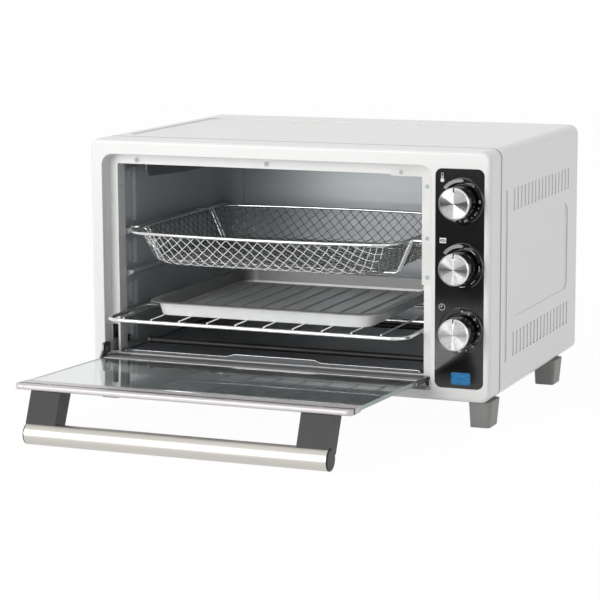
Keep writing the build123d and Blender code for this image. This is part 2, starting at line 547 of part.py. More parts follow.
for name, x0, x1 in (("left", handle_x0 - cap_len, handle_x0 + 31.2), ("right", handle_x1 - 33.0, handle_x1)):
    back_y, front_y = handle_y + 33.5, handle_y + 9.5
    block = poly_yz([(front_y, under_door(front_y)), (back_y, under_door(back_y)),
                     (handle_y + 16.0, handle_z + 2), (handle_y - 7.0, handle_z + 2)], x0, x1)
    block = fillet(block.edges().filter_by(Axis.X), 0.8)
    block = block - disc_x(handle_y, handle_z, handle_r + 0.03, x0 - 1, x1 + 1)
    for x in screw_x:
        if x0 < x < x1:
            for z in (z_high - 19.25, z_high - 8.25):
                block = block - swing(disc_y(x, z, 1.65, y_out - 7.1, y_out + 1))
    save(f"handle_bracket_{name}", block.solids().sort_by(SortBy.VOLUME)[-1])

# Wire rack: a looped frame, wires from front to back and two cross stays
rx0, rx1 = cav_xc - rack_half, cav_xc + rack_half
frame = bent_rod([(rx0, rack_y0, rack_z), (rx1, rack_y0, rack_z), (rx1, rack_y1, rack_z),
                  (rx0, rack_y1, rack_z)], 2.0, 18.0, close=True)
wires = []
for i in range(10):
    x = cav_xc - 0.6 + (i - 4.5) * 0.19025 * rack_half
    wires.append(rod((x, rack_y0 - 1.6, rack_z + 3.1), (x, rack_y1 + 1.6, rack_z + 3.1), 1.1))
for y in (rack_y0 + 0.3755 * (rack_y1 - rack_y0), rack_y0 + 0.7 * (rack_y1 - rack_y0)):
    wires.append(rod((rx0, y, rack_z), (rx1, y, rack_z), 1.95))
save("wire_rack", frame + wires)

# Baking pan: drawn sheet with a flat lip and raised ribs on its floor
pan_z1 = pan_z0 + 15.0


def tub(x0, x1, y0, y1, r0, z0, x2, x3, y2, y3, r1, z1):
    low = Plane(origin=((x0 + x1) / 2, (y0 + y1) / 2, z0)) * RectangleRounded(x1 - x0, y1 - y0, r0)
    high = Plane(origin=((x2 + x3) / 2, (y2 + y3) / 2, z1)) * RectangleRounded(x3 - x2, y3 - y2, r1)
    return loft(Sketch() + [low, high])


lip = 7.5
px0, px1, py0, py1 = pan_x0 + lip, pan_x1 - lip, pan_y0 + lip, pan_y1 - lip
pan = tub(px0 + 4, px1 - 4, py0 + 4, py1 - 4, 17, pan_z0, px0, px1, py0, py1, 20, pan_z1)
pan = pan + slab_xy(pan_x0, pan_x1, pan_y0, pan_y1, 25, pan_z1 - 0.9, pan_z1)
pan = pan - tub(px0 + 5, px1 - 5, py0 + 5, py1 - 5, 16, pan_z0 + 0.9, px0 + 0.9, px1 - 0.9,
                py0 + 0.9, py1 - 0.9, 19, pan_z1 + 0.05)
for i in range(10):
    x = (pan_x0 + pan_x1) / 2 + (i - 4.5) * 0.087 * (pan_x1 - pan_x0)
    rib = slab_xy(x - 5.2, x + 5.2, pan_y0 + 25, pan_y1 - 21, 5.1, pan_z0 + 0.8, pan_z0 + 2.5)
    pan = pan + fillet(edges_at(rib, "z", pan_z0 + 2.5), 1.5)
save("baking_pan", pan)

# Basket: bowed rim wire, open mesh tub and two hairpin hangers
bxc = cav_xc + 0.5


def bowed(hx, y0, y1, bow, r, z):
    mid = (y0 + y1) / 2
    side_bow = 3.0
    corners = [(bxc - hx, y0), (bxc + hx, y0), (bxc + hx, y1), (bxc - hx, y1)]
    mids = [(bxc, y0 - bow), (bxc + hx + side_bow, mid), (bxc, y1 + bow), (bxc - hx - side_bow, mid)]
    arcs = []
    for k in range(4):
        arcs.append(ThreePointArc(corners[k], mids[k], corners[(k + 1) % 4]))
    face = make_face(Curve() + arcs)
    face = fillet(face.vertices(), r)
    return Plane(origin=(0, 0, z)) * face


hx = basket_half - 3.0
rim_face = bowed(hx, basket_y0, basket_y1, basket_bow, 26, basket_z1)
rim_path = rim_face.faces()[0].outer_wire()
rim = sweep(Plane(origin=rim_path @ 0, z_dir=rim_path % 0) * Circle(1.6), path=rim_path)
save("basket_rim", rim)
outer_tub = loft(Sketch() + [
    bowed(hx - 19, basket_y0 + 17, basket_y1 - 17, basket_bow - 2, 20, basket_z0),
    bowed(hx - 2.2, basket_y0 + 2.2, basket_y1 - 2.2, basket_bow, 24, basket_z1 - 1.0)])
inner_tub = loft(Sketch() + [
    bowed(hx - 20.2, basket_y0 + 18.2, basket_y1 - 18.2, basket_bow - 2, 19, basket_z0 + 1.2),
    bowed(hx - 3.4, basket_y0 + 3.4, basket_y1 - 3.4, basket_bow, 23, basket_z1 + 0.2)])
mesh = outer_tub - inner_tub
holes = []
step_x, step_y = 0.1428 * basket_half, 0.088 * (basket_y1 - basket_y0)
reach_x, reach_y = basket_half - 32, (basket_y1 - basket_y0) / 2 - 27
basket_zc = (basket_z0 + basket_z1) / 2
for i in range(-5, 6):
    for k in range(-4, 5):
        for odd in (0, 1):
            x = bxc + step_x * (i + odd / 2)
            y = basket_yc + step_y * (k + odd / 2)
            if abs(x - bxc) < reach_x and abs(y - basket_yc) < reach_y:
                at = Plane(origin=(x, y, basket_z0 - 1)).rotated((0, 0, 45))
                holes.append(extrude(at * Rectangle(12.6, 12.6), amount=4))
for i in range(-6, 7):
    x = bxc + 0.13 * basket_half * i
    at = Plane(origin=(x, basket_y0 - 46, basket_zc), x_dir=(1, 0, 0), z_dir=(0, 1, 0)).rotated((0, 45, 0))
    holes.append(extrude(at * Rectangle(13.0, 13.0), amount=basket_y1 - basket_y0 + 110))
for i in range(-4, 5):
    y = basket_yc + step_y * i
    at = Plane(origin=(bxc - basket_half - 40, y, basket_zc), x_dir=(0, 1, 0), z_dir=(1, 0, 0))
    at = at.rotated((45, 0, 0))
    holes.append(extrude(at * Rectangle(13.0, 13.0), amount=2 * basket_half + 80))
mesh = mesh - holes
save("basket_mesh", mesh)
hangers = []
foot_z = guide_tops[2] + 1.65
wide, knee, foot = basket_half - 17, basket_half - 1.5, basket_half + 15.8
for y in (basket_y0 + 52, basket_y1 - 28.6):
    for dy in (0, 7.0):
        low = basket_z0 - 1.9
        pts = [(bxc - foot, y + dy, foot_z), (bxc - knee, y + dy, foot_z), (bxc - wide, y + dy, low),
               (bxc + wide, y + dy, low), (bxc + knee, y + dy, foot_z), (bxc + foot, y + dy, foot_z)]
        hangers.append(bent_rod(pts, 1.5, 5.0))
    for side in (-1, 1):
        x = bxc + side * (foot - 0.1)
        hangers.append(rod((x, y - 0.8, foot_z), (x, y + 7.8, foot_z), 1.5))
front_pair = hangers[0] + hangers[1] + hangers[2] + hangers[3]
rear_pair = hangers[4] + hangers[5] + hangers[6] + hangers[7]
save("basket_hangers", [front_pair, rear_pair])

# Crumb tray: thin pan on the cavity floor, its front lip raised in the middle for a grip
tx0, tx1 = mouth_x0 + 4, mouth_x1 - 4
tray_y0, tray_y1 = cav_y0 + 0.4, cav_y1 - 35
grip0, grip1, ramp = cav_xc - 48.5, cav_xc + 60.0, 8.5


def lip_face(low, high, rise, y0, y1):
    if low > tray_z0:
        start = [(tx0 + 3.2, low), (tx0 + 3.2, high)]
        end = [(tx1 - 3.2, high), (tx1 - 3.2, low), (grip1, low), (grip1 - ramp, low + rise),
               (grip0 + ramp, low + rise), (grip0, low)]
    else:
        start = [(tx0, low), (tx0, high - 2.1), (tx0 + 0.7, high - 0.8), (tx0 + 3.2, high)]
        end = [(tx1 - 3.2, high), (tx1 - 0.7, high - 0.8), (tx1, high - 2.1), (tx1, low)]
    raised = [(grip0, high), (grip0 + ramp, high + rise), (grip1 - ramp, high + rise), (grip1, high)]
    points = start + raised + end
    at = Plane(origin=(0, y0, 0), x_dir=(1, 0, 0), z_dir=(0, -1, 0))
    return extrude(at * make_face(Polyline(*points, close=True)), amount=-(y1 - y0))


lip_z = tray_z0 + 3.2
tray = box(tx0, tx1, tray_y0, tray_y1, tray_z0, tray_z0 + 0.8)
tray = tray + lip_face(tray_z0, lip_z, 2.8, tray_y0, tray_y0 + 0.8)
tray = tray + lip_face(lip_z - 0.8, lip_z, 2.8, tray_y0, tray_y0 + 3.9)
for x0, x1 in ((tx0, tx0 + 0.8), (tx1 - 0.8, tx1)):
    tray = tray + box(x0, x1, tray_y0, tray_y1, tray_z0, tray_z0 + 2.7)
tray = tray + box(tx0, tx1, tray_y1 - 0.8, tray_y1, tray_z0, tray_z0 + 2.7)
save("crumb_tray", tray)
print("shift", shift_y, "hinge", hinge_y + shift_y, hinge_z)
print("knobs", knob_x, knob_z, "fan", fan_y + shift_y, fan_z)
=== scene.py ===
import math

import bpy
import bmesh
import numpy as np
from bpy.props import FloatProperty, FloatVectorProperty, IntProperty, PointerProperty
from mathutils import Matrix, Vector


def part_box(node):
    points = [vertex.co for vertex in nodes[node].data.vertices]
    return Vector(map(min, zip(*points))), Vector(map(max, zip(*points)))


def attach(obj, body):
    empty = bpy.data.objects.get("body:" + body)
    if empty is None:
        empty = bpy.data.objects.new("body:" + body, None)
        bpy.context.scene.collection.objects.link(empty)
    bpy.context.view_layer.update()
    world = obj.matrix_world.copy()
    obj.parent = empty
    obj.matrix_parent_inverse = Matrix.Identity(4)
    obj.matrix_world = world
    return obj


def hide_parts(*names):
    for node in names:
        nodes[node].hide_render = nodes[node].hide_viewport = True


bl_info = {
    "name": "Countertop Oven Looks",
    "version": (1, 0, 0),
    "blender": (4, 5, 0),
    "location": "View3D > Sidebar > Oven",
    "description": "Finishes, woven basket, dial marks, trim and stage for a countertop oven",
    "category": "Object",
}

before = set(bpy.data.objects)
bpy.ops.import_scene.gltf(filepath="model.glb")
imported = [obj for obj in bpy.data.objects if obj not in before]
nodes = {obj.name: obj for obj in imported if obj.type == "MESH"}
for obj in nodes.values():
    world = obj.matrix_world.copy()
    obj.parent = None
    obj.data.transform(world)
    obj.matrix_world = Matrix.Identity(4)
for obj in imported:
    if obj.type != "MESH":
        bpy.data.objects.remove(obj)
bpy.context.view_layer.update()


# Properties

def colour(name, description, default):
    return FloatVectorProperty(name=name, description=description, default=default, size=3,
                               subtype="COLOR", min=0.0, max=1.0)


def length(name, description, default):
    return FloatProperty(name=name, description=description, default=default, unit="LENGTH",
                         subtype="DISTANCE", precision=5, min=0.0)


def factor(name, description, default):
    return FloatProperty(name=name, description=description, default=default, subtype="FACTOR",
                         min=0.0, max=1.0)


class OvenPaint(bpy.types.PropertyGroup):
    body: colour("Body Paint", "Powder coat on the case", (0.82, 0.82, 0.81))
    body_roughness: factor("Body Roughness", "Satin level of the powder coat", 0.34)
    cavity: colour("Cavity Coat", "Grey coating inside the oven", (0.57, 0.60, 0.615))
    feet: colour("Feet", "Grey foot mouldings", (0.27, 0.275, 0.26))
    strip: colour("Corner Strip", "Pale strip by the mouth", (0.75, 0.75, 0.72))


class OvenMetal(bpy.types.PropertyGroup):
    tube: colour("Handle Tube", "Brushed stainless tube", (0.60, 0.575, 0.54))
    rail: colour("Door Rails", "Satin rails on the door edges", (0.60, 0.57, 0.575))
    wire: colour("Bright Wire", "Plated wire of the rack and basket", (0.80, 0.80, 0.80))
    pan: colour("Pan", "Aluminised pan", (0.60, 0.60, 0.60))
    sheet: colour("Zinc Sheet", "Plated sheet of the band and the carrier", (0.50, 0.52, 0.53))
    tray: colour("Crumb Tray", "Grey coated crumb tray", (0.17, 0.18, 0.19))


class OvenBasket(bpy.types.PropertyGroup):
    pitch: length("Wire Pitch", "Distance between neighbouring wires", 0.0087)
    wire_radius: length("Wire Radius", "Radius of one woven wire", 0.00042)
    bend: length("Foot Bend", "Radius where the wall leaves the bottom", 0.009)
    sides: IntProperty(name="Wire Sides", description="Facets round one wire", default=6, min=3, max=12)


class OvenDials(bpy.types.PropertyGroup):
    mark: colour("Marks", "Printed dial marks", (0.88, 0.88, 0.86))
    arc: colour("Dial Arc", "Printed arc of a dial", (0.36, 0.35, 0.36))
    number_height: length("Number Height", "Height of the dial numbers", 0.0023)
    dot_radius: length("Dot Radius", "Radius of a printed dot", 0.00055)


class OvenGlass(bpy.types.PropertyGroup):
    tint: colour("Glass Tint", "Body tint of the door glass", (0.68, 0.72, 0.72))
    roughness: factor("Glass Roughness", "Polish of the door glass", 0.015)


class OvenStage(bpy.types.PropertyGroup):
    world: FloatProperty(name="Room Light", description="Strength of the room's even light",
                         default=0.68, min=0.0)
    key: FloatProperty(name="Front Light", description="Power of the large front lamp", default=50.0,
                       min=0.0, unit="POWER")
    top: FloatProperty(name="Top Light", description="Power of the lamp above", default=2.0,
                       min=0.0, unit="POWER")
    side: FloatProperty(name="Side Light", description="Power of the lamp on the right", default=9.0,
                        min=0.0, unit="POWER")


GROUPS = {"oven_paint": OvenPaint, "oven_metal": OvenMetal, "oven_basket": OvenBasket,
          "oven_dials": OvenDials, "oven_glass": OvenGlass, "oven_stage": OvenStage}


# Node graph helpers

class Wire:
    """An output socket that joins in Python arithmetic by adding Math nodes."""

    def __init__(self, graph, socket):
        self.graph = graph
        self.socket = socket

    def maths(self, operation, *others):
        return self.graph.maths(operation, self, *others)

    def __add__(self, other):
        return self.maths("ADD", other)

    def __sub__(self, other):
        return self.maths("SUBTRACT", other)

    def __rsub__(self, other):
        return self.graph.maths("SUBTRACT", other, self)

    def __mul__(self, other):
        return self.maths("MULTIPLY", other)

    def __gt__(self, other):
        return self.maths("GREATER_THAN", other)

    def __lt__(self, other):
        return self.maths("LESS_THAN", other)

    def __abs__(self):
        return self.maths("ABSOLUTE")

    __radd__ = __add__
    __rmul__ = __mul__


class Graph:
    """A node tree. node() adds one node and returns one of its outputs as a Wire."""

    def __init__(self, tree):
        self.tree = tree

    def node(self, kind, settings=None, inputs=None, output=0):
        made = self.tree.nodes.new(kind)
        for key, value in (settings or {}).items():
            if key == "stops":
                self.set_stops(made.color_ramp.elements, value)
            else:
                setattr(made, key, value)
        for key, value in (inputs or {}).items():
            if isinstance(value, Wire):
                self.tree.links.new(value.socket, made.inputs[key])
            else:
                made.inputs[key].default_value = value
        return Wire(self, made.outputs[output])

    def set_stops(self, marks, stops):
        """Sets a ramp's marks to stops of (place, shade of grey)."""
        for place, _ in stops[2:]:
            marks.new(place)
        for mark, (place, shade) in zip(marks, stops):
            mark.position = place
            mark.color = (shade, shade, shade, 1.0)

    def maths(self, operation, *values):
        return self.node("ShaderNodeMath", {"operation": operation}, dict(enumerate(values)))

    def vector(self, operation, first, second=(0.0, 0.0, 0.0), output=0):
        return self.node("ShaderNodeVectorMath", {"operation": operation}, {0: first, 1: second}, output)


class Finish(Graph):
    """One material: constants sit on its shader's sockets, and node() adds anything that varies."""

    def __init__(self, name, **constants):
        self.material = bpy.data.materials.new(name)
        self.material.use_nodes = True
        super().__init__(self.material.node_tree)
        self.shader = self.tree.nodes["Principled BSDF"]
        for label, value in constants.items():
            if hasattr(value, "__len__"):
                value = (*value, 1.0)
            self.shader.inputs[label.replace("_", " ")].default_value = value

    def place(self, stretch=(1.0, 1.0, 1.0), centre=(0.0, 0.0, 0.0)):
        """Object coordinates, moved so that centre is the origin and then stretched."""
        there = self.node("ShaderNodeTexCoord", output="Object")
        return self.vector("MULTIPLY", self.vector("SUBTRACT", there, centre), stretch)

    def axis(self, index, there=None):
        """One of the three coordinates of there, or else of the object's own place."""
        return self.node("ShaderNodeSeparateXYZ", {}, {0: there or self.place()}, index)

    def noise(self, scale, detail=2.0, roughness=0.5, stretch=(1.0, 1.0, 1.0)):
        return self.node("ShaderNodeTexNoise", {}, {"Vector": self.place(stretch), "Scale": scale,
                                                    "Detail": detail, "Roughness": roughness}, "Fac")

    def blend(self, mask, first, second):
        """The first colour where mask is 0 and the second where it is 1."""
        first, second = (c if isinstance(c, Wire) else (*c, 1.0) for c in (first, second))
        return self.node("ShaderNodeMix", {"data_type": "RGBA"}, {0: mask, 6: first, 7: second}, 2)

    def vary(self, mask, tone, low, high):
        """The tone, drifting between two shares of itself."""
        return self.blend(mask, shaded(tone, low), shaded(tone, high))

    def drive(self, label, wire):
        self.tree.links.new(wire.socket, self.shader.inputs[label])
        return self

    def rough(self, mask, middle, spread):
        """Roughness that a mask from 0 to 1 spreads evenly round its middle value."""
        return self.drive("Roughness", mask * spread + (middle - spread / 2))

    def bump(self, height, distance):
        return self.drive("Normal", self.node("ShaderNodeBump", {}, {
            "Height": height, "Distance": distance, "Strength": 1.0}, "Normal"))


def shaded(tone, share):
    return tuple(min(1.0, c * share) for c in tone)


# Finishes. Lengths are in metres, and hair stretches run along X.

FINE_HAIRS = (12.0, 900.0, 900.0)
LONG_HAIRS = (9.0, 1400.0, 1400.0)


def powder_coat(name, tone, roughness, seam=None):
    """Satin paint. Where seam is given, the sheet's front edge up to that place along Y is painted grey: the
    painted shadow line of the seam.
    """
    finish = Finish(name, Roughness=roughness, Coat_Weight=0.25, Coat_Roughness=0.22)
    paint = finish.vary(finish.noise(6.0), tone, 0.975, 1.02)
    if seam is not None:
        # painted shadow: the strip in front of seam is dark grey, as the shadow line behind the bezel
        paint = finish.blend(finish.axis(1) < seam, paint, (0.22, 0.22, 0.225))
    finish.drive("Base Color", paint)
    peel = finish.noise(900.0)
    return finish.rough(peel, roughness, 0.08).bump(peel, 0.00006).material


def moulded(name, tone, roughness, shine=0.5):
    finish = Finish(name, Roughness=roughness, Specular_IOR_Level=shine)
    speck = finish.noise(2400.0)
    finish.drive("Base Color", finish.vary(finish.noise(25.0, 3.0), tone, 0.85, 1.15))
    return finish.rough(speck, roughness, 0.12).bump(speck, 0.00003).material


def gloss_black(name, roughness):
    finish = Finish(name, Roughness=roughness, Specular_IOR_Level=0.7)
    cloud = finish.noise(40.0, 3.0)
    finish.drive("Base Color", finish.blend(cloud, (0.003, 0.003, 0.004), (0.006, 0.006, 0.007)))
    return finish.rough(cloud, roughness, 0.04).bump(finish.noise(700.0, 1.0), 0.000008).material


def brushed(name, tone, roughness, stretch, metallic=1.0):
    finish = Finish(name, Metallic=metallic, Roughness=roughness)
    hairs = finish.noise(1.0, 3.0, 0.65, stretch)
    finish.drive("Base Color", finish.vary(hairs, tone, 0.82, 1.12))
    return finish.rough(hairs, roughness, 0.22).bump(hairs, 0.00002).material


def banded_sheet(name, tone, other, start, end=1.0, metallic=0.35):
    """A satin sheet that has another tone between two places along Y."""
    finish = Finish(name, Metallic=metallic)
    hairs = finish.noise(1.0, 3.0, 0.65, FINE_HAIRS)
    depth = finish.axis(1)
    main, band = (finish.vary(hairs, t, 0.9, 1.1) for t in (tone, other))
    finish.drive("Base Color", finish.blend((depth > start) * (depth < end), main, band))
    return finish.rough(hairs, 0.39, 0.22).bump(hairs, 0.00002).material


def plated_wire(name, tone, line=None):
    """Plated wire. Where a line along Y is given, it is painted near white before it, as lit, and dull behind
    it, as painted shade.
    """
    finish = Finish(name, Metallic=1.0, Roughness=0.16)
    cloud = finish.noise(60.0, 3.0)
    plating = finish.vary(cloud, tone, 0.88, 1.05) if line is None else finish.vary(cloud, tone, 0.36, 0.5)
    if line is not None:
        # painted light and shade: white in front of the line, a dark copy of the tone behind it
        behind = finish.axis(1) > line
        plating = finish.blend(behind, (1.0, 1.0, 1.0), plating)
        finish.drive("Metallic", behind * 0.5 + 0.5)
    finish.drive("Base Color", plating)
    return finish.rough(cloud, 0.15, 0.14).bump(finish.noise(500.0), 0.00001).material


def rolled_sheet(name, tone, roughness, metallic=0.9):
    finish = Finish(name, Metallic=metallic, Roughness=roughness)
    spangle = finish.node("ShaderNodeTexVoronoi", {"feature": "F1"},
                          {"Vector": finish.place(), "Scale": 260.0}, "Color")
    grain = finish.node("ShaderNodeSeparateColor", {}, {"Color": spangle})
    cloud = finish.noise(18.0, 4.0)
    finish.drive("Base Color", finish.vary(grain * 0.35 + cloud * 0.65, tone, 0.86, 1.12))
    return finish.rough(cloud, roughness, 0.12).bump(grain, 0.00001).material


def pressed_pan(name, tone, roughness, metallic):
    """Rolled sheet whose walls are brighter outside and darker inside than its floor: painted light on the
    outer walls and painted shade on the inner walls.

    The outside is found from the pan's rounded outline, which leans outwards as it rises.
    """
    finish = Finish(name, Metallic=metallic)
    low, high = (Vector(corner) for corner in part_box("baking_pan"))
    rim, bend, lean = 0.0075, 0.020, 4 / 15  # the rim's width, the outline's corners, the walls' slope
    skin, lip, floor = 0.00045, 0.00095, 0.0034  # half the sheet, the rim's depth, the floor's height
    straight = (high - low) / 2 - Vector((rim + bend, rim + bend, 0.0))
    flat = finish.place((1.0, 1.0, 0.0), (low + high) / 2)
    past = finish.vector("SUBTRACT", finish.vector("ABSOLUTE", flat), (straight.x, straight.y, 0.0))
    out = finish.vector("LENGTH", finish.vector("MAXIMUM", past), output="Value") - bend
    height = finish.axis(2)
    outside = (out > (height - high.z) * lean - skin) * (height < high.z - lip)
    cloud = finish.noise(18.0, 4.0)
    # painted light and shade: outer walls are a lit copy of the tone, inner walls a shaded copy
    bottom, inner, outer = (finish.vary(cloud, tone, *shares)
                            for shares in ((0.88, 1.10), (0.34, 0.44), (1.50, 1.62)))
    floor_and_painted_shade = finish.blend(height > low.z + floor, bottom, inner)
    finish.drive("Base Color", finish.blend(outside, floor_and_painted_shade, outer))
    return finish.rough(cloud, roughness, 0.12).bump(cloud, 0.00001).material


def cavity_coat(name, tone, glint=None):
    """Flecked coating. glint is the (x, y) place of an upright bead whose face gets a painted highlight."""
    finish = Finish(name, Metallic=0.35, Roughness=0.32, Specular_IOR_Level=0.6)
    fleck = finish.noise(1600.0)
    coat = finish.vary(finish.noise(7.0, 3.0) * 0.7 + fleck * 0.3, tone, 0.82, 1.18)
    if glint:
        # painted highlight: a pale stripe down the bead's face
        across, depth = (abs(finish.axis(i) - glint[i]) for i in (0, 1))
        painted_bead_highlight = (across < 0.0002) * (depth < 0.0045)
        coat = finish.blend(painted_bead_highlight * 0.8, coat, (0.97, 0.98, 1.0))
    finish.drive("Base Color", coat)
    return finish.rough(fleck, 0.32, 0.10).bump(fleck, 0.00004).material


def heater_sheath(name):
    finish = Finish(name, Metallic=0.35, Roughness=0.5)
    bands = finish.noise(1.0, 4.0, 0.6, (14.0, 160.0, 160.0))
    finish.drive("Base Color", finish.blend(bands, (0.007, 0.0065, 0.006), (0.024, 0.021, 0.019)))
    return finish.rough(bands, 0.485, 0.25).bump(bands, 0.00008).material


def spun_cap(name, centre, fan):
    """Bright cap turned on a lathe: fine rings, a painted fan of light and shade, a painted highlight on the
    rim and a dark index painted as the shade of its notch.
    """
    finish = Finish(name, Metallic=1.0, Roughness=0.22)
    rim, index_foot, index_half = 0.0148, 0.0118, 0.0007
    there = finish.place(centre=centre)
    across, along = finish.axis(0, there), finish.axis(2, there)
    radius = finish.vector("LENGTH", finish.vector("MULTIPLY", there, (1.0, 0.0, 1.0)), output="Value")
    half_turn = (along.maths("ARCTAN2", across) * (1 / math.pi) + 1.0).maths("FRACT")
    streak = finish.noise(1.0, 2.0, 0.5, (90.0, 1.0, 90.0))
    shade = finish.node("ShaderNodeValToRGB", {"stops": fan}, {0: half_turn + streak * 0.02 - 0.01})
    # painted highlight: outside the face the chamfered rim is pale grey
    face = finish.blend(radius > rim, shade, (0.72, 0.72, 0.72))
    # painted shade: the index notch is near black
    index = (along > index_foot) * (abs(across) < index_half)
    finish.drive("Base Color", finish.blend(index, face, (0.02, 0.02, 0.02)))
    rings = (radius * 31000.0).maths("SINE")
    finish.drive("Roughness", rings * 0.03 + 0.22)
    return finish.bump(rings, 0.000012).material


def printed(name, tone):
    finish = Finish(name, Roughness=0.5)
    worn = finish.noise(900.0)
    finish.drive("Base Color", finish.vary(worn, tone, 0.86, 1.06))
    return finish.rough(worn, 0.5, 0.2).material


def door_pane(name, tone, roughness):
    finish = Finish(name, Transmission_Weight=1.0, IOR=1.5, Roughness=roughness, Coat_Weight=0.3,
                    Coat_Roughness=0.01)
    smear = finish.noise(9.0, 4.0)
    finish.drive("Base Color", finish.vary(smear, tone, 0.94, 1.05))
    return finish.drive("Roughness", smear * 0.02 + roughness).material


def lamp_jewel(name):
    finish = Finish(name, Roughness=0.12, Coat_Weight=0.2, Coat_Roughness=0.05, Emission_Strength=0.35)
    glow = finish.noise(420.0, 1.0, 0.5, (0.5, 1.0, 1.6))
    tint = finish.blend(glow, (0.001, 0.045, 0.17), (0.002, 0.20, 0.42))
    return finish.drive("Base Color", tint).drive("Emission Color", tint).bump(glow, 0.0002).material


# How the painted light and shade fan round a cap over half a turn, from three o'clock through twelve
CAP_FANS = {
    "temperature": [(0.0, 0.13), (0.07, 0.14), (0.10, 0.29), (0.47, 0.33), (0.50, 0.58), (0.80, 0.55),
                    (0.84, 0.14), (1.0, 0.13)],
    "function": [(0.0, 0.19), (0.14, 0.21), (0.18, 0.37), (0.45, 0.40), (0.49, 0.58), (0.56, 0.38),
                 (0.80, 0.33), (0.88, 0.19), (1.0, 0.19)],
    "timer": [(0.0, 0.40), (0.03, 0.37), (0.44, 0.38), (0.485, 0.60), (0.515, 0.60), (0.56, 0.40),
              (0.93, 0.38), (0.955, 0.54), (0.975, 0.40), (1.0, 0.40)],
}


# Mesh helpers

def dress(material, *names):
    for name in names:
        held = nodes[name].data
        held.materials.clear()
        held.materials.append(material)


def seat(name, data, body, slot, *stands_for):
    """Makes the mesh a piece on its body and, where it has one, in place of its CAD node."""
    piece = bpy.data.objects.new(name, data)
    bpy.context.scene.collection.objects.link(piece)
    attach(piece, body)
    if stands_for:
        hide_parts(*stands_for)


def mesh_piece(name, build, material, body, slot):
    """A new piece from build(bm)."""
    data = bpy.data.meshes.new(name)
    bm = bmesh.new()
    build(bm)
    bmesh.ops.recalc_face_normals(bm, faces=bm.faces)
    bm.to_mesh(data)
    bm.free()
    data.materials.append(material)
    seat(name, data, body, slot)


def slab(bm, corners):
    """A closed block from the four corners of one side and the four opposite them."""
    points = [bm.verts.new(corner) for corner in corners]
    for face in ((0, 1, 2, 3), (7, 6, 5, 4), (0, 4, 5, 1), (1, 5, 6, 2), (2, 6, 7, 3), (3, 7, 4, 0)):
        bm.faces.new([points[k] for k in face])


def flattened(carrier):
    """The mesh of an object as it is shown, with its modifiers run."""
    depsgraph = bpy.context.evaluated_depsgraph_get()
    return bpy.data.meshes.new_from_object(carrier.evaluated_get(depsgraph), depsgraph=depsgraph)


# Geometry Nodes

def group_with(name, sizes):
    """A geometry tree with named inputs, and a way to reach them. sizes maps a name to (type, default)."""
    tree = bpy.data.node_groups.new(name, "GeometryNodeTree")
    tree.interface.new_socket("Geometry", in_out="INPUT", socket_type="NodeSocketGeometry")
    for label, (kind, default) in sizes.items():
        entry = tree.interface.new_socket(label, in_out="INPUT", socket_type="NodeSocket" + kind)
        if default is not None:
            entry.default_value = default
    tree.interface.new_socket("Geometry", in_out="OUTPUT", socket_type="NodeSocketGeometry")
    graph, entries = Graph(tree), tree.nodes.new("NodeGroupInput")
    return graph, lambda label: Wire(graph, entries.outputs[label])


def end_tree(graph, given, geometry):
    whole = graph.node("GeometryNodeRealizeInstances", {}, {"Geometry": geometry})
    painted = graph.node("GeometryNodeSetMaterial", {}, {"Geometry": whole, "Material": given("Material")})
    result = graph.tree.nodes.new("NodeGroupOutput")
    graph.tree.links.new(painted.socket, result.inputs["Geometry"])
    return graph.tree


def wires_tree():
    """Edges become round wires."""
    graph, given = group_with("Wires From Lines", {
        "Wire Radius": ("Float", 0.001), "Sides": ("Int", 6), "Material": ("Material", None)})
    line = graph.node("GeometryNodeMeshToCurve", {}, {"Mesh": given("Geometry")})
    ring = graph.node("GeometryNodeCurvePrimitiveCircle", {}, {"Resolution": given("Sides"),
                                                               "Radius": given("Wire Radius")})
    pipe = graph.node("GeometryNodeCurveToMesh", {}, {
        "Curve": line, "Profile Curve": ring, "Fill Caps": True})
    return end_tree(graph, given, graph.node("GeometryNodeSetShadeSmooth", {}, {"Geometry": pipe}))


def discs_tree():
    """A thin round disc on every point, facing along Y."""
    graph, given = group_with("Discs On Points", {
        "Disc Radius": ("Float", 0.001), "Thickness": ("Float", 0.0002), "Material": ("Material", None)})
    disc = graph.node("GeometryNodeMeshCylinder", {}, {
        "Vertices": 20, "Radius": given("Disc Radius"), "Depth": given("Thickness")})
    return end_tree(graph, given, graph.node("GeometryNodeInstanceOnPoints", {}, {
        "Points": given("Geometry"), "Instance": disc, "Rotation": (math.pi / 2, 0.0, 0.0)}))


def fins_tree():
    """A thin upright strip on every point, turned about Z."""
    graph, given = group_with("Fins On Points", {
        "Fin Width": ("Float", 0.005), "Fin Height": ("Float", 0.023), "Fin Thickness": ("Float", 0.0005),
        "Turn": ("Float", 0.5), "Material": ("Material", None)})
    size = graph.node("ShaderNodeCombineXYZ", {}, {
        "X": given("Fin Thickness"), "Y": given("Fin Width"), "Z": given("Fin Height")})
    strip = graph.node("GeometryNodeMeshCube", {}, {"Size": size})
    spin = graph.node("ShaderNodeCombineXYZ", {}, {"Z": given("Turn")})
    return end_tree(graph, given, graph.node("GeometryNodeInstanceOnPoints", {}, {
        "Points": given("Geometry"), "Instance": strip, "Rotation": spin}))


def grown(name, tree, points, edges, values, body, slot, *stands_for):
    """Runs a geometry tree on points and edges and keeps its result as a plain mesh."""
    seed = bpy.data.meshes.new(name + "_seed")
    seed.from_pydata([tuple(p) for p in points], edges, [])
    carrier = bpy.data.objects.new(name + "_seed", seed)
    bpy.context.scene.collection.objects.link(carrier)
    modifier = carrier.modifiers.new("grow", "NODES")
    modifier.node_group = tree
    for entry in tree.interface.items_tree:
        if entry.in_out == "INPUT" and entry.name in values:
            modifier[entry.identifier] = values[entry.name]
    data = flattened(carrier)
    carrier.modifiers.remove(modifier)
    bpy.data.objects.remove(carrier)
    if not data.polygons:
        raise RuntimeError("the geometry tree made nothing for " + name)
    data.name = name
    seat(name, data, body, slot, *stands_for)


# Operators

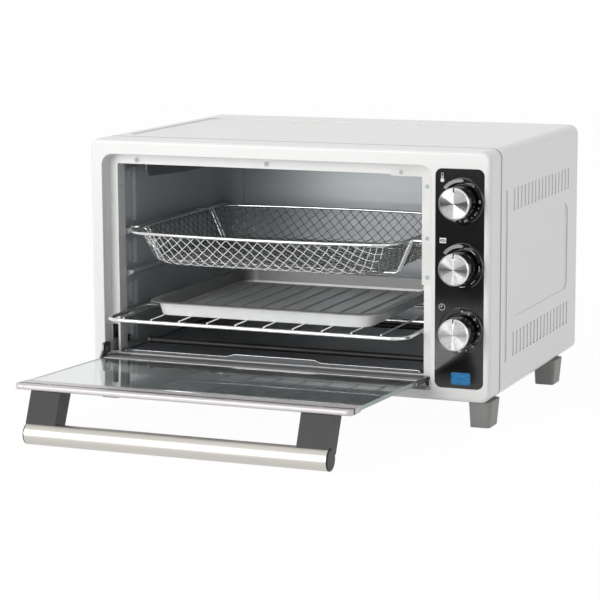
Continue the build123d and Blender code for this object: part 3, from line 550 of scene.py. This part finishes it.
class OVEN_OT_case(bpy.types.Operator):
    """Paints the front, case, base, back and feet"""
    bl_idname = "oven.case"
    bl_label = "Case"
    seam_shadow_width = 0.0040  # how far back the wrap's front edge is painted grey as the seam's shadow line

    def execute(self, context):
        paint, metal = context.scene.oven_paint, context.scene.oven_metal
        coat = (paint.body, paint.body_roughness)
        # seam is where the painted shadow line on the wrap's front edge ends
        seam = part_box("housing_wrap")[0][1] + self.seam_shadow_width
        dress(powder_coat("white_powder_coat", *coat), "front_bezel")
        dress(powder_coat("white_case_coat", *coat, seam), "housing_wrap")
        dress(rolled_sheet("plated_case_sheet", metal.sheet, 0.38), "base_plate", "back_panel",
              "control_carrier")
        dress(moulded("grey_foot_plastic", paint.feet, 0.5), "front_feet", "rear_feet")
        dress(moulded("black_back_plastic", (0.02, 0.02, 0.02), 0.5), "cord_gland", "wall_spacers")
        dress(moulded("pale_strip_plastic", paint.strip, 0.42), "mouth_corner_strip")
        dress(rolled_sheet("rivet_metal", (0.40, 0.42, 0.47), 0.5, 0.2), "flange_rivets")
        self.louvre_fins(powder_coat("white_fin_coat", *coat))
        return {"FINISHED"}

    def louvre_fins(self, coat):
        """The strips pressed inwards behind each side slot: one tree, run once a side."""
        low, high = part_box("housing_wrap")
        count, inset = 17, 0.0017
        front, rear = low[1] + 0.0479, high[1] - 0.0384  # the first and last slot's middles
        rows = (low[2] + 0.0485, high[2] - 0.0567)
        pitch = (rear - front) / (count - 1)
        tree = fins_tree()
        for name, x, turn in (("left_louvre_fins", low[0] + inset, 0.5),
                              ("right_louvre_fins", high[0] - inset, -0.5)):
            spots = [(x, front + pitch * k, z) for k in range(count) for z in rows]
            grown(name, tree, spots, [], {"Fin Width": 0.0046, "Fin Height": 0.0232, "Turn": turn,
                                          "Material": coat}, "cabinet", "white_paint")


class OVEN_OT_cavity(bpy.types.Operator):
    """Coats the cavity, heaters and fan"""
    bl_idname = "oven.cavity"
    bl_label = "Cavity"

    def execute(self, context):
        paint, metal = context.scene.oven_paint, context.scene.oven_metal
        dress(cavity_coat("grey_cavity_coat", paint.cavity), "cavity_ceiling", "cavity_floor",
              "cavity_rear_wall")
        # where each wall's bead gets its painted highlight
        bead_height, bead_depth = 0.0042, 0.0212
        for side, corner, height in (("left", 0, bead_height), ("right", 1, -bead_height)):
            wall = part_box("cavity_" + side + "_wall")
            glint = (wall[corner][0] + height, wall[0][1] + bead_depth)
            dress(cavity_coat("grey_" + side + "_wall_coat", paint.cavity, glint), "cavity_" + side + "_wall")
        dress(rolled_sheet("bare_mouth_band", shaded(metal.sheet, 1.9), 0.36, 0.2), "cavity_front_band")
        dress(rolled_sheet("heater_cheek_sheet", (0.16, 0.165, 0.17), 0.4, 0.5), "upper_heater_cheeks")
        dress(rolled_sheet("scorched_holder_sheet", (0.06, 0.055, 0.05), 0.45, 0.6), "lower_heater_holders")
        dress(heater_sheath("oxidised_heater_tube"), "lower_heaters", "upper_heaters")
        dress(moulded("ceramic_bush", (0.72, 0.70, 0.64), 0.6), "heater_insulators")
        dress(rolled_sheet("fan_metal", metal.sheet, 0.4), "fan_can", "fan_rotor", "fan_motor")
        return {"FINISHED"}


class OVEN_OT_door(bpy.types.Operator):
    """Finishes the door, its hinges and its handle"""
    bl_idname = "oven.door"
    bl_label = "Door"
    groove = (0.0080, 0.0125)  # the top rail's groove, from and to behind its front edge
    shaded_end = 0.0165  # the rear of the bottom rail, which lies in the hinge's shade
    pane = 0.0040
    edge_skin = 0.0002

    def execute(self, context):
        metal, glass = context.scene.oven_metal, context.scene.oven_glass
        dress(door_pane("tinted_door_glass", glass.tint, glass.roughness), "door_glass")
        groove = (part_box("door_top_rail")[0][1] + side for side in self.groove)
        # painted shade: the groove's band is near black, as the shade in the groove
        dress(banded_sheet("grooved_door_rail", metal.rail, (0.05, 0.05, 0.055), *groove), "door_top_rail")
        dress(brushed("satin_screw_metal", metal.rail, 0.36, FINE_HAIRS, 0.35), "handle_screws")
        # painted shade: the bottom rail is the rail tone at 0.72, as it lies in shade under the mouth, and
        # its rear is painted darker for the hinge's shade
        dress(banded_sheet("two_tone_hinge_rail", shaded(metal.rail, 0.72), (0.13, 0.13, 0.135),
                             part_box("door_bottom_rail")[1][1] - self.shaded_end), "door_bottom_rail")
        dress(brushed("brushed_handle_tube", metal.tube, 0.37, LONG_HAIRS), "handle_tube")
        dress(moulded("black_bracket_plastic", (0.015, 0.015, 0.017), 0.42, 0.35), "handle_bracket_left",
              "handle_bracket_right", "handle_end_caps")
        dress(rolled_sheet("hinge_steel", (0.16, 0.15, 0.15), 0.32, 0.9), "hinge_levers")
        dress(rolled_sheet("pale_hinge_steel", (0.62, 0.60, 0.61), 0.34, 0.5), "hinge_links",
              "hinge_brackets")
        dress(rolled_sheet("hinge_pin_steel", (0.32, 0.30, 0.28), 0.3), "hinge_pins")
        mesh_piece("glass_edges", self.edges, moulded("ground_glass_edge", (0.40, 0.50, 0.47), 0.3), "door",
                   "door_glass")
        return {"FINISHED"}

    def edges(self, bm):
        """The ground side edges of the pane, between the rails, which look pale green."""
        low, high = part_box("door_glass")
        near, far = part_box("door_top_rail")[1][1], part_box("door_bottom_rail")[0][1]
        rise = high[2] - low[2] - self.pane

        def height(y):
            return low[2] + rise * (high[1] - y) / (high[1] - low[1])

        for x, skin in ((low[0], -self.edge_skin), (high[0], self.edge_skin)):
            slab(bm, [(x + out, y, height(y) + up) for out in (0.0, skin)
                      for y, up in ((near, 0.0), (far, 0.0), (far, self.pane), (near, self.pane))])


class OVEN_OT_controls(bpy.types.Operator):
    """Finishes the control panel, knobs and pilot lamp"""
    bl_idname = "oven.controls"
    bl_label = "Controls"

    def execute(self, context):
        metal = context.scene.oven_metal
        dress(gloss_black("gloss_black_panel", 0.09), "control_panel")
        dress(gloss_black("gloss_black_dial", 0.07), "dial_rings", "temperature_knob", "function_knob",
              "timer_knob")
        for dial, fan in CAP_FANS.items():
            low, high = (Vector(corner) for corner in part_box(dial + "_knob_cap"))
            dress(spun_cap("spun_" + dial + "_cap", (low + high) / 2, fan), dial + "_knob_cap")
            dress(rolled_sheet("plated_" + dial + "_shaft", metal.sheet, 0.3), dial + "_shaft")
        dress(moulded("switch_plastic", (0.03, 0.03, 0.03), 0.5), "thermostat_body", "function_switch_body",
              "lamp_holder")
        dress(rolled_sheet("timer_case_metal", metal.sheet, 0.35), "timer_body")
        # the frame shares the lens's finish and glows too: painted light, for the frame is no lamp
        dress(lamp_jewel("blue_lamp_jewel"), "lamp_lens", "lamp_frame")
        return {"FINISHED"}


class OVEN_OT_dial_marks(bpy.types.Operator):
    """Prints plain numbers, dots and small symbols round the dials"""
    bl_idname = "oven.dial_marks"
    bl_label = "Dial Marks"
    # How far the ink stands out, half a number's thickness, and how far numbers sit from a dial's middle.
    # The printed rings are a little left of the knobs' middles, as in the photograph.
    ink_lift = 0.00006
    half_number = 0.00004
    reach = 0.0207
    aside = -0.0011

    def execute(self, context):
        dials = context.scene.oven_dials
        ink = printed("white_dial_ink", dials.mark)
        front = self.face("dial_rings")
        numbers = []
        for dial, raised, turns, texts in (
            ("temperature", 0.0006, (43, 91, 109, 126, 143, 161, 179, 197, 214, 232, 249, 267),
             {91: "80", 126: "110", 161: "150", 197: "180", 232: "200", 267: "230"}),
            ("timer", 0.0, (8, 29, 51, 72, 94, 115, 137, 159, 180, 202, 224, 245, 267),
             {8: "0", 29: "5", 51: "10", 94: "20", 137: "30", 180: "40", 224: "50", 267: "60"}),
        ):
            x, z = self.at(dial, self.aside, raised)
            dots = []
            for turn in turns:
                angle = math.radians(turn)
                spot = Vector((x + self.reach * math.sin(angle), front, z + self.reach * math.cos(angle)))
                if turn in texts:
                    lean = angle if dial == "temperature" else 0.0
                    numbers.append(self.number(texts[turn], spot, lean, dials.number_height))
                else:
                    dots.append(spot)
            grown(dial + "_dial_dots", discs_tree(), dots, [], {"Disc Radius": dials.dot_radius,
                  "Thickness": 0.0001, "Material": ink}, "cabinet", "black_panel")
        data = bpy.data.meshes.new("dial_numbers")
        bm = bmesh.new()
        for shape in numbers:
            bm.from_mesh(shape)
        bm.to_mesh(data)
        bm.free()
        data.materials.append(ink)
        seat("dial_numbers", data, "cabinet", "black_panel")
        mesh_piece("panel_symbols", self.symbols, ink, "cabinet", "black_panel")
        mesh_piece("dial_arcs", self.arcs, printed("grey_arc_ink", dials.arc), "cabinet", "black_panel")
        return {"FINISHED"}

    def number(self, text, spot, lean, height):
        """A number as a thin flat mesh that faces the front, turned about its own middle."""
        curve = bpy.data.curves.new("number", "FONT")
        curve.body = text
        curve.size = height / 0.7  # a capital is about 0.7 of the font's size
        curve.align_x = curve.align_y = "CENTER"
        curve.extrude = self.half_number
        carrier = bpy.data.objects.new("number", curve)
        bpy.context.scene.collection.objects.link(carrier)
        data = flattened(carrier)
        bpy.data.objects.remove(carrier)
        data.transform(Matrix.Translation(spot) @ Matrix.Rotation(lean, 4, "Y")
                       @ Matrix.Rotation(math.pi / 2, 4, "X"))
        return data

    def face(self, name):
        """The place along Y of ink on the front of a node."""
        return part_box(name)[0][1] - self.ink_lift

    def at(self, dial, right=0.0, up=0.0):
        """The (x, z) place of a knob's middle, moved right and up."""
        low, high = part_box(dial + "_knob_cap")
        return (low[0] + high[0]) / 2 + right, (low[2] + high[2]) / 2 + up

    def plate(self, bm, front, outline):
        """A thin flat plate from four (x, z) corners."""
        slab(bm, [(x, y, z) for y in (front, front + 0.00008) for x, z in outline])

    def hoop(self, bm, front, centre, outer, inner, start=0.0, stop=360.0):
        """A flat arc from plates, between two turns in degrees from three o'clock."""
        steps = max(4, int(abs(stop - start) / 10))
        for k in range(steps):
            a = math.radians(start + (stop - start) * k / steps)
            b = math.radians(start + (stop - start) * (k + 1) / steps)
            self.plate(bm, front, [(centre[0] + radius * math.cos(turn), centre[1] + radius * math.sin(turn))
                                   for radius, turn in ((outer, a), (outer, b), (inner, b), (inner, a))])

    def arcs(self, bm):
        """The grey arcs at the upper left of the two upper dials, each with a thin tip."""
        front = self.face("dial_rings")
        for dial in ("temperature", "function"):
            middle = self.at(dial, -0.0006)
            self.hoop(bm, front, middle, 0.0229, 0.0194, 86.0, 143.0)
            self.hoop(bm, front, middle, 0.0220, 0.0203, 82.0, 86.0)

    def symbols(self, bm):
        """Rows of ticks on the function dial, and a thermometer, an oven and a clock beside the dials."""
        ring = self.face("dial_rings")
        middle = self.at("function", self.aside)
        for turn in (-43.0, 43.0, 93.0, 137.0, 172.0):
            for k in range(4):
                tick = 90.0 - turn + (k - 1.5) * 4.2
                self.hoop(bm, ring, middle, 0.0211, 0.0203, tick - 1.5, tick + 1.5)
        front = self.face("control_panel")

        def bar(x0, x1, z0, z1):
            self.plate(bm, front, [(x0, z0), (x1, z0), (x1, z1), (x0, z1)])

        x, z = self.at("temperature", -0.0208, 0.0236)
        self.hoop(bm, front, (x, z - 0.0030), 0.0020, 0.0)
        self.hoop(bm, front, (x, z + 0.0036), 0.0012, 0.0008, 0.0, 180.0)
        bar(x - 0.0012, x - 0.0008, z - 0.0015, z + 0.0036)
        bar(x + 0.0008, x + 0.0012, z - 0.0015, z + 0.0036)
        bar(x - 0.0003, x + 0.0003, z - 0.0020, z + 0.0014)
        x, z = self.at("function", -0.0200, 0.0257)
        bar(x - 0.0034, x + 0.0034, z + 0.0011, z + 0.0027)
        bar(x - 0.0034, x + 0.0034, z - 0.0027, z - 0.0011)
        bar(x - 0.0034, x - 0.0027, z - 0.0011, z + 0.0011)
        bar(x + 0.0027, x + 0.0034, z - 0.0011, z + 0.0011)
        bar(x - 0.0020, x + 0.0020, z - 0.0003, z + 0.0003)
        x, z = self.at("timer", -0.0207, 0.0235)
        self.hoop(bm, front, (x, z), 0.0034, 0.0030, 100.0, 430.0)
        bar(x - 0.0002, x + 0.0002, z, z + 0.0040)
        bar(x - 0.0016, x, z - 0.0002, z + 0.0002)


class OVEN_OT_wire_goods(bpy.types.Operator):
    """Plates the rack and the basket's rim and hangers, and finishes the pan and crumb tray"""
    bl_idname = "oven.wire_goods"
    bl_label = "Rack, Pan and Tray"
    tray_lip = 0.0041  # how deep the tray's front lip is, which is darker than its floor

    def execute(self, context):
        metal = context.scene.oven_metal
        dress(plated_wire("bright_rack_wire", metal.wire), "wire_rack")
        dress(plated_wire("bright_basket_wire", metal.wire), "basket_rim", "basket_hangers")
        dress(pressed_pan("aluminised_pan", metal.pan, 0.42, 0.35), "baking_pan")
        low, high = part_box("crumb_tray")
        dress(banded_sheet("grey_crumb_tray", shaded(metal.tray, 0.55), metal.tray, low[1] + self.tray_lip,
                             metallic=0.5), "crumb_tray")
        # the edge wire stands on the tray's front edge, and its bright plating paints that edge's highlight
        self.tray_edge(low, high, plated_wire("bright_tray_edge", metal.wire))
        return {"FINISHED"}

    def tray_edge(self, low, high, plating):
        """A bright wire along the tray's front edge, whose bright plating is a painted highlight on that
        edge: up one end, over the raised grip and down the other end.
        """
        left, right, y, z = low[0] + 0.0003, high[0] - 0.0003, low[1] + 0.0004, high[2] - 0.0031
        middle, foot, grip = (left + right) / 2, low[2] + 0.0008, z + 0.0028
        corner = ((0.0, -0.0021), (0.0007, -0.0008), (0.0032, 0.0))
        run = [(left, foot), *((left + a, z + b) for a, b in corner),
               (middle - 0.0485, z), (middle - 0.0400, grip), (middle + 0.0515, grip), (middle + 0.0600, z),
               *((right - a, z + b) for a, b in reversed(corner)), (right, foot)]
        grown("crumb_tray_edge", wires_tree(), [(a, y, b) for a, b in run],
              [(k, k + 1) for k in range(len(run) - 1)],
              {"Wire Radius": 0.00045, "Sides": 8, "Material": plating}, "tray", "coated_grey")


class OVEN_OT_basket(bpy.types.Operator):
    """Weaves the basket from single wires that cross over and under each other"""
    bl_idname = "oven.basket"
    bl_label = "Woven Basket"
    # The wall's lean from foot to rim, and how far the woven sheet ends within the rim's box.
    lean = 0.0168
    inset = (0.0046, 0.0151)

    def execute(self, context):
        scene = context.scene
        basket = scene.oven_basket
        low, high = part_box("basket_rim")
        self.top = (low[2] + high[2]) / 2
        self.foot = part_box("basket_mesh")[0][2] + 0.0006
        self.centre = Vector(((low[0] + high[0]) / 2, (low[1] + high[1]) / 2))
        self.half = Vector([(high[k] - low[k]) / 2 - self.inset[k] for k in (0, 1)])
        self.bend = basket.bend
        self.floor_line()
        points, edges = [], []
        for family in (0, 1):
            self.weave(family, basket, points, edges)
        # the basket's front wall is painted lit and the wires behind it painted in shade
        front_wall = low[1] + 0.0331
        plating = plated_wire("bright_woven_wire", scene.oven_metal.wire, front_wall)
        grown("woven_basket", wires_tree(), points, edges, {
            "Wire Radius": basket.wire_radius, "Sides": basket.sides, "Material": plating},
            "basket", "bright_wire", "basket_mesh")
        return {"FINISHED"}

    def floor_line(self):
        """The outline of the basket's flat bottom: four bowed sides with round corners, and its normals."""
        half_x, half_y = self.half.x - 0.019, self.half.y - 0.017
        bow_x, bow_y = 0.003, 0.0115
        power = 2 / 9.0  # a high superellipse power gives straight sides and small corners
        line = []
        for k in range(720):
            turn = 2 * math.pi * k / 720
            c, s = math.cos(turn), math.sin(turn)
            x = math.copysign(abs(c) ** power, c) * half_x
            y = math.copysign(abs(s) ** power, s) * half_y
            x += math.copysign(bow_x * (1 - (y / half_y) ** 2), x) if abs(x) > 0.6 * half_x else 0.0
            y += math.copysign(bow_y * (1 - (x / half_x) ** 2), y) if abs(y) > 0.6 * half_y else 0.0
            line.append((x, y))
        line = np.array(line)
        steps = np.r_[0, np.cumsum(np.linalg.norm(np.diff(line, axis=0), axis=1))]
        even = np.linspace(0, steps[-1], 1200)
        line = np.c_[np.interp(even, steps, line[:, 0]), np.interp(even, steps, line[:, 1])]
        along = np.roll(line, -1, axis=0) - np.roll(line, 1, axis=0)
        along[0] = along[1]
        along[-1] = along[-2]
        across = np.c_[along[:, 1], -along[:, 0]]
        self.line = line
        self.across = across / np.linalg.norm(across, axis=1)[:, None]

    def lift(self, flat):
        """Maps points of the flat woven sheet to the pressed basket: (position, surface normal)."""
        gaps = flat[:, None, :] - self.line[None, :, :]
        nearest = np.argmin((gaps ** 2).sum(axis=2), axis=1)
        base, out = self.line[nearest], self.across[nearest]
        beyond = ((flat - base) * out).sum(axis=1)
        turn = math.pi / 2 - math.atan2(self.lean, self.top - self.foot)
        arc = self.bend * turn
        beyond_arc = beyond + self.bend * 0.5
        inside = beyond_arc <= 0
        on_arc = np.clip(beyond_arc, 0, arc) / self.bend
        straight = np.maximum(beyond_arc - arc, 0)
        reach = self.bend * np.sin(on_arc) + straight * math.cos(turn) - self.bend * 0.5
        rise = self.bend * (1 - np.cos(on_arc)) + straight * math.sin(turn)
        place = np.where(inside[:, None], flat, base + out * reach[:, None])
        z = np.where(inside, 0.0, rise) + self.foot
        tilt = np.where(inside, 0.0, on_arc)
        normal = np.c_[out * -np.sin(tilt)[:, None], np.cos(tilt)]
        return np.c_[place + np.array(self.centre), z], normal

    def weave(self, family, basket, points, edges):
        """One family of parallel slanting wires, each in waves over and under those of the other."""
        pitch = basket.pitch
        over = basket.wire_radius * 0.95
        reach = 0.34  # half the longest wire, flat
        wall_x, wall_y = 0.03, 0.045  # more than the walls take of the flat sheet beyond the half sizes
        count = int(reach / pitch)
        for index in range(-count, count + 1):
            run = np.arange(-reach, reach, pitch / 4)
            fixed = np.full_like(run, index * pitch)
            u, v = (fixed, run) if family == 0 else (run, fixed)
            flat = np.c_[(u + v) / math.sqrt(2), (u - v) / math.sqrt(2)]
            near = (abs(flat[:, 0]) < self.half.x + wall_x) & (abs(flat[:, 1]) < self.half.y + wall_y)
            if near.sum() < 3:
                continue
            flat, run = flat[near], run[near]
            place, normal = self.lift(flat)
            side = 1 if family == 0 else -1
            wave = over * side * np.cos(math.pi * run / pitch) * (-1) ** index
            joined = False
            for point in place + normal * wave[:, None]:
                if point[2] < self.top:
                    points.append(point)
                    if joined:
                        edges.append((len(points) - 2, len(points) - 1))
                joined = point[2] < self.top


# Stage. Its helpers read the kind of ray, which only the floor and the room may do.

def ray(graph, kind):
    return graph.node("ShaderNodeLightPath", output="Is " + kind + " Ray")


def looked_at(graph):
    """1 where the stage is seen, also in a mirror or through glass, and 0 where it only lights the oven."""
    camera, mirror, glass = (ray(graph, kind) for kind in ("Camera", "Glossy", "Transmission"))
    return camera.maths("MAXIMUM", mirror).maths("MAXIMUM", glass)


class OVEN_OT_stage(bpy.types.Operator):
    """Sets the floor, the room, the lamps and the camera"""
    bl_idname = "oven.stage"
    bl_label = "Stage"
    # The camera comes from a fit to the photograph: place in metres, angles in degrees, lens in millimetres.
    camera_place = (0.8984, -2.2093, 0.5108)
    yaw_pitch_roll = (22.2277, 9.4553, -0.3058)
    lens = 135.617
    lamp_size = 1.8

    def execute(self, context):
        scene = context.scene
        light = scene.oven_stage
        self.floor(scene)
        self.room(scene, light.world)
        self.lamp(scene, "front_softbox", (-1.0, -2.7, 0.9), (0.0, 0.0, 0.15), light.key)
        self.lamp(scene, "side_softbox", (2.6, -0.5, 0.5), (0.1, 0.1, 0.15), light.side)
        self.lamp(scene, "top_softbox", (-0.2, 0.1, 2.4), (0.0, 0.0, 0.2), light.top)
        self.camera(scene)
        scene.view_settings.view_transform = "Standard"
        return {"FINISHED"}

    def camera(self, scene):
        camera = bpy.data.objects.new("camera", bpy.data.cameras.new("camera"))
        scene.collection.objects.link(camera)
        camera.data.sensor_width = 36.0
        camera.data.lens = self.lens
        camera.data.clip_start, camera.data.clip_end = 0.05, 50.0
        yaw, pitch, roll = (math.radians(a) for a in self.yaw_pitch_roll)
        right = Vector((math.cos(yaw), math.sin(yaw), 0.0))
        level = Vector((-math.sin(yaw), math.cos(yaw), 0.0))
        forward = level * math.cos(pitch) - Vector((0.0, 0.0, math.sin(pitch)))
        above = right.cross(forward)
        side = math.cos(roll) * right + math.sin(roll) * above
        head = -math.sin(roll) * right + math.cos(roll) * above
        turned = Matrix((side, head, -forward)).transposed().to_4x4()
        camera.matrix_world = Matrix.Translation(self.camera_place) @ turned
        scene.camera = camera

    def floor(self, scene):
        """A pale floor that glows white where it is looked at.

        Glossy faces see it dark beyond about 0.8 m towards the front. Through the door's pane, the part
        under the oven keeps its real shade.
        """
        half, level = 4.0, -0.0005
        data = bpy.data.meshes.new("floor")
        data.from_pydata([(x * half, y * half, level) for x, y in ((-1, -1), (1, -1), (1, 1), (-1, 1))], [],
                         [(0, 1, 2, 3)])
        floor = bpy.data.objects.new("floor", data)
        scene.collection.objects.link(floor)
        finish = Finish("pale_floor", Base_Color=(0.80, 0.80, 0.80), Roughness=0.9)
        across, depth = finish.axis(0), finish.axis(1)
        along = finish.node("ShaderNodeMapRange", {}, {"Value": depth, "From Min": -1.2, "From Max": -0.4})
        reach = [(0.0, 0.06), (0.50, 0.05), (0.54, 1.0), (1.0, 1.0)]
        bands = finish.node("ShaderNodeValToRGB", {"stops": reach}, {0: along})
        shown = finish.blend(ray(finish, "Glossy"), (1.0, 1.0, 1.0), bands)
        glow = finish.node("ShaderNodeEmission", {}, {"Color": shown, "Strength": 1.02})
        low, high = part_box("housing_wrap")
        under = (across > low[0]) * (across < high[0]) * (depth > low[1] - 0.03) * (depth < high[1])
        share = looked_at(finish) * (1.0 - under * ray(finish, "Transmission")) * 0.94
        mix = finish.node("ShaderNodeMixShader", {}, {
            0: share, 1: Wire(finish, finish.shader.outputs[0]), 2: glow})
        finish.tree.links.new(mix.socket, finish.tree.nodes["Material Output"].inputs["Surface"])
        data.materials.append(finish.material)

    def room(self, scene, strength):
        """A white room that lights less than it shows, and least from the front right."""
        world = bpy.data.worlds.new("room")
        scene.world = world
        world.use_nodes = True
        graph = Graph(world.node_tree)
        way = graph.node("ShaderNodeTexCoord", output="Generated")
        facing = graph.vector("DOT_PRODUCT", way, (0.64, -0.768, 0.0), "Value")
        dim = graph.node("ShaderNodeMapRange", {"interpolation_type": "SMOOTHSTEP"}, {
            "Value": facing, "From Min": 0.45, "From Max": 0.85,
            "To Min": strength, "To Max": strength * 0.05})
        level = graph.node("ShaderNodeMapRange", {}, {
            "Value": looked_at(graph), "To Min": dim, "To Max": 1.0})
        background = world.node_tree.nodes["Background"]
        background.inputs["Color"].default_value = (1.0, 1.0, 1.0, 1.0)
        graph.tree.links.new(level.socket, background.inputs["Strength"])

    def lamp(self, scene, name, place, aim, power):
        lamp = bpy.data.lights.new(name, "AREA")
        lamp.shape = "SQUARE"
        lamp.size = self.lamp_size
        lamp.energy = power
        holder = bpy.data.objects.new(name, lamp)
        scene.collection.objects.link(holder)
        holder.location = place
        holder.rotation_mode = "QUATERNION"
        holder.rotation_quaternion = (Vector(aim) - Vector(place)).to_track_quat("-Z", "Y")


OPERATORS = (OVEN_OT_case, OVEN_OT_cavity, OVEN_OT_door, OVEN_OT_controls, OVEN_OT_dial_marks,
             OVEN_OT_wire_goods, OVEN_OT_basket, OVEN_OT_stage)


class OVEN_PT_looks(bpy.types.Panel):
    bl_label = "Oven"
    bl_idname = "OVEN_PT_looks"
    bl_space_type = "VIEW_3D"
    bl_region_type = "UI"
    bl_category = "Oven"

    def draw(self, context):
        for group in GROUPS:
            held = getattr(context.scene, group)
            column = self.layout.column(align=True)
            for entry in held.bl_rna.properties:
                if entry.identifier not in ("rna_type", "name"):
                    column.prop(held, entry.identifier)
        for operator in OPERATORS:
            self.layout.operator(operator.bl_idname)


def register():
    for group in GROUPS.values():
        bpy.utils.register_class(group)
    for name, group in GROUPS.items():
        setattr(bpy.types.Scene, name, PointerProperty(type=group))
    for operator in OPERATORS:
        bpy.utils.register_class(operator)
    bpy.utils.register_class(OVEN_PT_looks)


def unregister():
    bpy.utils.unregister_class(OVEN_PT_looks)
    for operator in reversed(OPERATORS):
        bpy.utils.unregister_class(operator)
    for name in GROUPS:
        delattr(bpy.types.Scene, name)
    for group in reversed(list(GROUPS.values())):
        bpy.utils.unregister_class(group)


def main():
    register()
    bpy.ops.oven.case()
    bpy.ops.oven.cavity()
    bpy.ops.oven.door()
    bpy.ops.oven.controls()
    bpy.ops.oven.dial_marks()
    bpy.ops.oven.wire_goods()
    bpy.ops.oven.basket()
    bpy.ops.oven.stage()
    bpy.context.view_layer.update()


if __name__ == "__main__":
    main()
